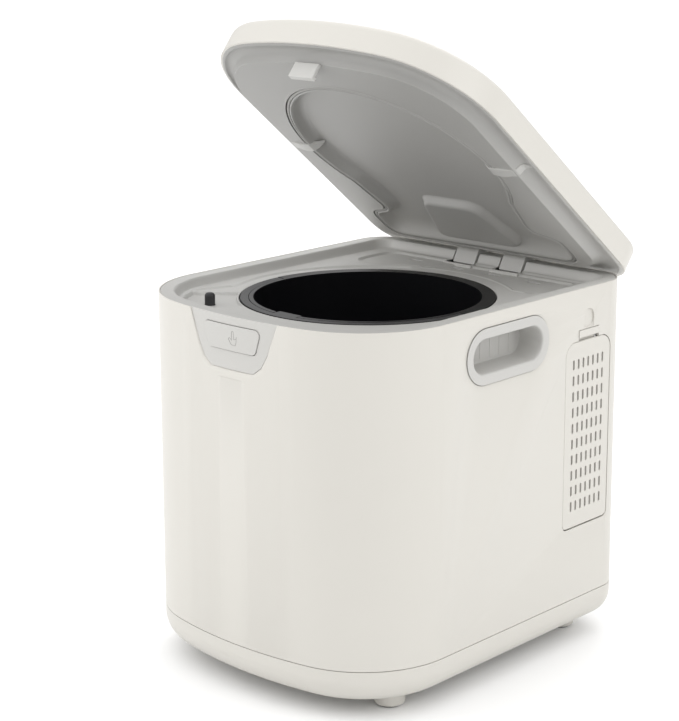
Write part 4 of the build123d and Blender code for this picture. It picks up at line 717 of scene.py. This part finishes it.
def edge_distance(x, y):
    """How far a point of the plan lies inside the cabinet's edge."""
    x = abs(x)
    inside = min(width / 2 - x, rear - y)
    bend_x, bend_y = width / 2 - back_corner, rear - back_corner
    if x > bend_x and y > bend_y:
        return back_corner - sqrt((x - bend_x) ** 2 + (y - bend_y) ** 2)
    if y < corner_y:
        if atan2(x, crown_y - y) < pi / 2 - slope:
            return min(inside, crown - sqrt(x * x + (y - crown_y) ** 2))
        return min(inside, side_corner - sqrt((x - corner_x) ** 2 + (y - corner_y) ** 2))
    return inside


def line_distance(x, y, start, across):
    """How far a point lies past a line, from a point on the line and the way square to it."""
    return (x - start[0]) * across[0] + (y - start[1]) * across[1]


# %% Air recess
recess_y, recess_half_x, recess_half_y, recess_corner, recess_arc = rear - 0.0517, 0.105, 0.0262, 0.014, 0.123


def well_distance(x, y):
    """How far a point lies from the middle of the well."""
    return sqrt(x * x + (y - well_y) ** 2)


def recess_distance(x, y):
    """Distance into the air recess behind the well; negative outside it."""
    dx = abs(x) - recess_half_x + recess_corner
    dy = abs(y - recess_y) - recess_half_y + recess_corner
    outside = sqrt(max(dx, 0) ** 2 + max(dy, 0) ** 2) + min(max(dx, dy), 0) - recess_corner
    return min(-outside, well_distance(x, y) - recess_arc)


# %% Corner of the dish and pocket of the lid switch
corner_in, corner_start, corner_across = 0.0185, (-0.1048, middle - 0.0529), (0.932, -0.363)
pocket_in, pocket_start, pocket_across = 0.0205, (-0.1000, middle - 0.0820), (0.688, -0.726)
pocket_edge, pin_x, pin_y = -0.050, -0.078, middle - 0.113


def corner_distance(x, y):
    """Distance into the front left corner of the dish."""
    return min(edge_distance(x, y) - corner_in, line_distance(x, y, corner_start, corner_across))


def pocket_distance(x, y):
    """Distance into the pocket of the lid switch, inside that corner."""
    back = line_distance(x, y, pocket_start, pocket_across)
    return min(edge_distance(x, y) - pocket_in, back, pocket_edge - x)


# %% Height of the deck, from the drop and the width of each step
band_wide, band_step, ledge_drop = 0.0122, 0.0056, 0.0075
recess_step, recess_drop = 0.0012, 0.0014
bead_outer, bead_inner, bead_high = 0.0030, 0.0012, 0.0005
dish_radius, dish_step, dish_drop, corner_step = 0.1165, 0.0030, 0.0016, 0.0028
pocket_step, pocket_drop, pocket_arc, pocket_arc_step = 0.0014, 0.0022, 0.1075, 0.001


def deck_height(x, y):
    """Height of the deck's upper face."""
    radius, recess = well_distance(x, y), recess_distance(x, y)
    ledge = ledge_drop * soft(edge_distance(x, y) - band_wide, band_step)
    bead = bead_high * (soft(recess + bead_outer, recess_step) - soft(recess + bead_inner, recess_step))
    dish = dish_drop * max(soft(corner_distance(x, y), corner_step), soft(dish_radius - radius, dish_step))
    beside_well = soft(radius - pocket_arc, pocket_arc_step)
    pocket = pocket_drop * soft(pocket_distance(x, y), pocket_step) * beside_well
    return rim - ledge - recess_drop * soft(recess, recess_step) + bead - dish - pocket


print("ledge", round(deck_height(0.12, 0.0) - rim, 4))
print("pocket", round(deck_height(pin_x, pin_y) - rim, 4))


# %% Raising the deck
well_edge, deck_steps = 0.1068, 84


def deck_outline(inset):
    """The cabinet's plan, drawn finely enough for the deck."""
    return plan_points(inset, fine=3)


edge = deck_outline(0.0024)
turned = [atan2(y - well_y, x) for x, y in edge]
rings = [level(deck_outline(inset), rim + height)
         for inset, height in ((0.0015, -0.0022), (0.0015, -0.0004), (0.0018, -0.0001))]
for number in range(deck_steps + 1):
    t = number / deck_steps
    plan = [(x + (well_edge * cos(angle) - x) * t, y + (well_y + well_edge * sin(angle) - y) * t)
            for (x, y), angle in zip(edge, turned)]
    rings.append([(x, y, deck_height(x, y)) for x, y in plan])
print("rings to the well", len(rings))

# %% Well sleeve and underside: radius or inset, height over the rim
sleeve_profile = ((0.1062, -0.0095), (0.1060, -0.0105), (0.1060, -0.0139), (0.0980, -0.0139),
                  (0.0980, -0.0162), (0.1120, -0.0162), (0.1120, -0.0125))
for radius, height in sleeve_profile:
    rings.append([(radius * cos(angle), well_y + radius * sin(angle), rim + height) for angle in turned])
rings += [level(deck_outline(0.0095), rim + height) for height in (-0.0125, -0.0022)]
rings.append(rings[0])
deck = welded(raised("deck_tray", rings, open_start=True, open_end=True))
print("deck rings", len(rings))


# %% Cutting tools
def block(name, low, high):
    """A box between two corners."""
    bpy.ops.object.select_all(action="DESELECT")
    bpy.ops.mesh.primitive_cube_add(size=1.0, location=[(a + b) / 2 for a, b in zip(low, high)])
    piece = bpy.context.object
    piece.name = name
    piece.scale = [b - a for a, b in zip(low, high)]
    bpy.ops.object.transform_apply(location=True, rotation=True, scale=True)
    return piece


def slot_outline(a, b, long, wide, bend_count, side_count):
    """A slot-shaped outline round a centre, long in its first direction."""
    bend, half = wide / 2, long / 2 - wide / 2
    near, far, low, high = a - half, a + half, b - bend, b + bend
    outline = arc(far, b, bend, -pi / 2, pi / 2, bend_count) + run((far, high), (near, high), side_count)
    outline += arc(near, b, bend, pi / 2, 3 * pi / 2, bend_count) + run((near, low), (far, low), side_count)
    return outline


def carved(piece, cutter):
    """Cuts one closed mesh out of another and removes the cutter."""
    chosen(piece)
    cut = piece.modifiers.new("cut", "BOOLEAN")
    cut.operation, cut.object, cut.solver = "DIFFERENCE", cutter, "EXACT"
    bpy.ops.object.modifier_apply(modifier="cut")
    bpy.data.objects.remove(cutter)
    return piece


# %% Cutters for the hook and the hinge arms
cut_low, cut_high = rim - 0.03, rim + 0.01
hook_half, hook_front, hook_back = 0.015, front + 0.0135, front + 0.0245
slot_half, pocket_low, pocket_front, pocket_open = 0.014, rim - 0.024, rear - 0.0265, rear + 0.01
cutters = [block("cut_hook", (-hook_half, hook_front, cut_low), (hook_half, hook_back, cut_high))]
for side in (-1, 1):
    cutters.append(block("cut_hinge", (side * arm_x - slot_half, pocket_front, cut_low),
                         (side * arm_x + slot_half, pocket_open, cut_high)))

# %% Cutters for the vents and the switch pin, and all the openings
vent_long, vent_wide, pin_hole = 0.014, 0.004, 0.00465
for x, back in ((-0.066, 0.0375), (-0.020, 0.0355), (0.020, 0.0355), (0.066, 0.0375)):
    vent = slot_outline(x, rear - back, vent_long, vent_wide, 12, 1)
    cutters.append(raised("cut_vent", [level(vent, cut_low), level(vent, cut_high)]))
bpy.ops.mesh.primitive_cylinder_add(vertices=32, radius=pin_hole, depth=0.04, location=(pin_x, pin_y, rim))
cutters.append(bpy.context.object)
for cutter in cutters:
    carved(deck, cutter)
print("openings in the deck", len(cutters))

# %% Walls of the hinge pockets
pocket_half, pocket_floor, pocket_rear = 0.0155, pocket_low - 0.0015, rear - 0.0027
pockets = []
for side in (-1, 1):
    for near, top in ((pocket_front - 0.0015, rim - 0.0079), (rear - 0.0135, rim - 0.0024)):
        pocket = block("hinge_pocket", (side * arm_x - pocket_half, near, pocket_floor),
                       (side * arm_x + pocket_half, pocket_rear, top))
        cutter = block("cut_pocket", (side * arm_x - slot_half, pocket_front, pocket_low),
                       (side * arm_x + slot_half, pocket_open, cut_high))
        pockets.append(carved(pocket, cutter))
finished(joined(deck, *pockets), "cabinet", "deck_grey", "top_deck", smooth=radians(40.0))


# %% [markdown]
# ## Latch bezel and button
# The grey bezel sits a little behind the cabinet's face. The cream wall rolls over into it with a
# soft lip, widest at the bottom, so light runs along its edge. A bevel can't grow wider on its way
# round, so the lip is cut from the wall with a flared plug, and the bezel and button are set back by
# the same small depth. The button carries a plain pointing hand, drawn as one thin raised line.

# %% Cutting the cabinet's wall
def cut_wall(*cutters):
    """Cuts shapes out of the cream wall and shades it again."""
    wall = fine["body_shell"]
    for cutter in cutters:
        carved(wall, cutter)
    chosen(wall)
    bpy.ops.object.shade_smooth_by_angle(angle=smooth_angle)
    print("wall", len(wall.data.polygons), "faces")


def bow(x, behind):
    """Depth of the bowed front at a place across it."""
    return crown_y - sqrt(crown ** 2 - x ** 2) + behind


# %% Lip round the bezel
bezel_side = ((0.048, 0.004), (0.037, -0.026), (0.031, -0.036), (0.023, -0.042))
bezel_corners = [(-x, z) for x, z in bezel_side] + [(x, z) for x, z in reversed(bezel_side)]
bezel_bends = (0.002, 0.010, 0.006, 0.007, 0.007, 0.006, 0.010, 0.002)
foot_start, foot_high, foot_wider = 0.030, 0.010, 1.3
lip_profile = ((0.0034, -0.0030), (0.0031, -0.0002), (0.0022, 0.0), (0.0014, 0.0002), (0.0008, 0.0005),
               (0.0003, 0.0010), (0.0001, 0.0018))


def bezel_ring(grow, behind):
    """The bezel's outline on the bowed front, widened, a little more at its foot."""
    points = []
    for x, z in rounded_outline(bezel_corners, bezel_bends, grow, 6):
        foot = min(max((-z - foot_start) / foot_high, 0.0), 1.0)
        points.append((x, bow(x, behind), rim + z - foot * grow * foot_wider))
    return points


cut_wall(raised("cut_lip", [bezel_ring(grow, behind) for grow, behind in lip_profile]))

# %% Bezel and button set back
set_back = 0.0011
for name in ("front_bezel", "open_button"):
    for vertex in fine[name].data.vertices:
        vertex.co.y += set_back
print("bezel and button set back", set_back)

# %% Finger sign on the button, in millimetres round its middle
sign_x, sign_z, sign_behind, sign_thick, millimetre = 0.002, rim - 0.0172, set_back - 0.0009, 0.00022, 0.001
finger = [(-0.4, 1.2), (-0.4, 5.2), (0.0, 6.0), (0.8, 6.2), (1.5, 5.7), (1.7, 5.0), (1.7, -0.2), (3.6, 0.1),
          (4.6, 0.8), (4.9, 2.0), (4.5, -2.2), (3.5, -4.8), (-0.6, -4.8), (-1.9, -3.2), (-3.6, -0.9),
          (-3.7, 0.1), (-3.0, 0.7), (-2.0, 0.3), (-0.4, -1.2), (-0.4, 1.2)]
sign = bpy.data.curves.new("finger_sign", "CURVE")
sign.dimensions = "3D"
sign.bevel_depth, sign.bevel_resolution = sign_thick, 1
line = sign.splines.new("POLY")
line.points.add(len(finger) - 1)
for point, (x, z) in zip(line.points, finger):
    x = sign_x + x * millimetre
    point.co = (x, bow(x, sign_behind), sign_z + z * millimetre, 1.0)
mark = bpy.data.objects.new("finger_sign", sign)
bpy.context.scene.collection.objects.link(mark)
chosen(mark)
bpy.ops.object.convert(target="MESH")
finished(bpy.context.object, fine["open_button"]["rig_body"], "bezel_grey", look="seal_grey")

# %% [markdown]
# ## Filter door
# The filter door on the right is let go by a small sliding tab, with a shallow scoop above it for
# the fingertip. The solid's scoop is a plain pocket. A sculpted one would be hard to repeat, so a
# stack of shrinking outlines cuts it deeper, with soft sides. Behind the tab, two thin plates close
# the view into the machine beside the latch.

# %% Finger scoop
door_y, scoop_foot = rear - 0.05775, rim - 0.0346
scoop_corners = ((-0.0070, 0.0), (0.0070, 0.0), (0.0056, 0.0165), (-0.0056, 0.0165))
scoop_bends = (0.0020, 0.0020, 0.0056, 0.0056)
scoop_profile = ((0.0010, 0.0), (-0.0002, -0.0001), (-0.0008, -0.0006), (-0.0013, -0.0016),
                 (-0.0016, -0.0032))
rings = [[(width / 2 + x, door_y + y, scoop_foot + z)
          for y, z in rounded_outline(scoop_corners, scoop_bends, grow)]
         for x, grow in scoop_profile]
cut_wall(raised("cut_scoop", rings))

# %% Plates behind the latch tab: depth of the back, half the width, lower and upper edge
plate_front = width / 2 - 0.0030
plates = [block("latch_plate", (width / 2 - back, door_y - half, rim - low),
                (plate_front, door_y + half, rim - high))
          for back, half, low, high in ((0.0046, 0.0135, 0.0460, 0.0406), (0.0044, 0.0160, 0.0430, 0.0408))]
joined(fine["filter_cover_latch"], *plates)
print("latch plates", len(plates))

# %% [markdown]
# ## Handle cups
# Each side has a grip sunk into the wall: a broad, slightly crowned ring lies in a shallow seat in
# the cabinet, with a fine gap round it, and a tapered cup runs in behind it, with low ribs across its
# floor. Ring and cup are one moulding. Two lofts would leave a seam at the mouth, so it is raised in
# one go from the hidden end outwards and back in again.

# %% Seats in the wall: how much wider, distance from the middle
cup_y, cup_z = middle + 0.0015, rim - 0.0338
seat_long, seat_wide = 0.1037, 0.0457
seat_profile = ((0.0, 0.1392), (0.0, 0.1397), (0.0002, 0.1399), (0.0010, 0.1401), (0.0010, 0.1420))


def cup_ring(side, long, wide, x):
    """A slot-shaped ring on one side of the cabinet."""
    return [(side * x, y, z) for y, z in slot_outline(cup_y, cup_z, long, wide, 20, 10)]


seats = [[cup_ring(side, seat_long + grow, seat_wide + grow, x) for grow, x in seat_profile]
         for side in (1, -1)]
cut_wall(*[raised("cut_grip", rings) for rings in seats])

# %% Cup and ring: length, height, distance from the middle
cup_profile = ((0.0900, 0.0310, 0.1152), (0.0900, 0.0310, 0.1399), (0.1016, 0.0436, 0.1399),
               (0.1017, 0.0437, 0.1403), (0.1030, 0.0450, 0.1403), (0.1030, 0.0450, 0.1405),
               (0.1026, 0.0446, 0.14075), (0.1014, 0.0434, 0.1408), (0.0950, 0.0370, 0.1408),
               (0.0896, 0.0312, 0.1407), (0.0880, 0.0293, 0.1404), (0.0870, 0.0282, 0.1397),
               (0.0864, 0.0275, 0.1384), (0.0860, 0.0270, 0.1360), (0.0848, 0.0257, 0.1192),
               (0.0838, 0.0246, 0.1178), (0.0810, 0.0218, 0.1173))
rib_count, rib_pitch, rib_half, rib_high = 6, 0.012, 0.0020, 0.0102
rib_back, rib_face = 0.1165, 0.11755


def rib(side, number):
    """One low rib on the floor of a cup."""
    y = cup_y + (number - (rib_count - 1) / 2) * rib_pitch
    low, high = sorted((side * rib_back, side * rib_face))
    return block("rib", (low, y - rib_half, cup_z - rib_high), (high, y + rib_half, cup_z + rib_high))


for side, hand in ((1, "right"), (-1, "left")):
    cup = raised("grip_" + hand, [cup_ring(side, *ring) for ring in cup_profile])
    joined(cup, *[rib(side, number) for number in range(rib_count)])
    finished(cup, "cabinet", "bezel_grey", "handle_cup_" + hand, smooth=radians(40.0), look="cup_grey")
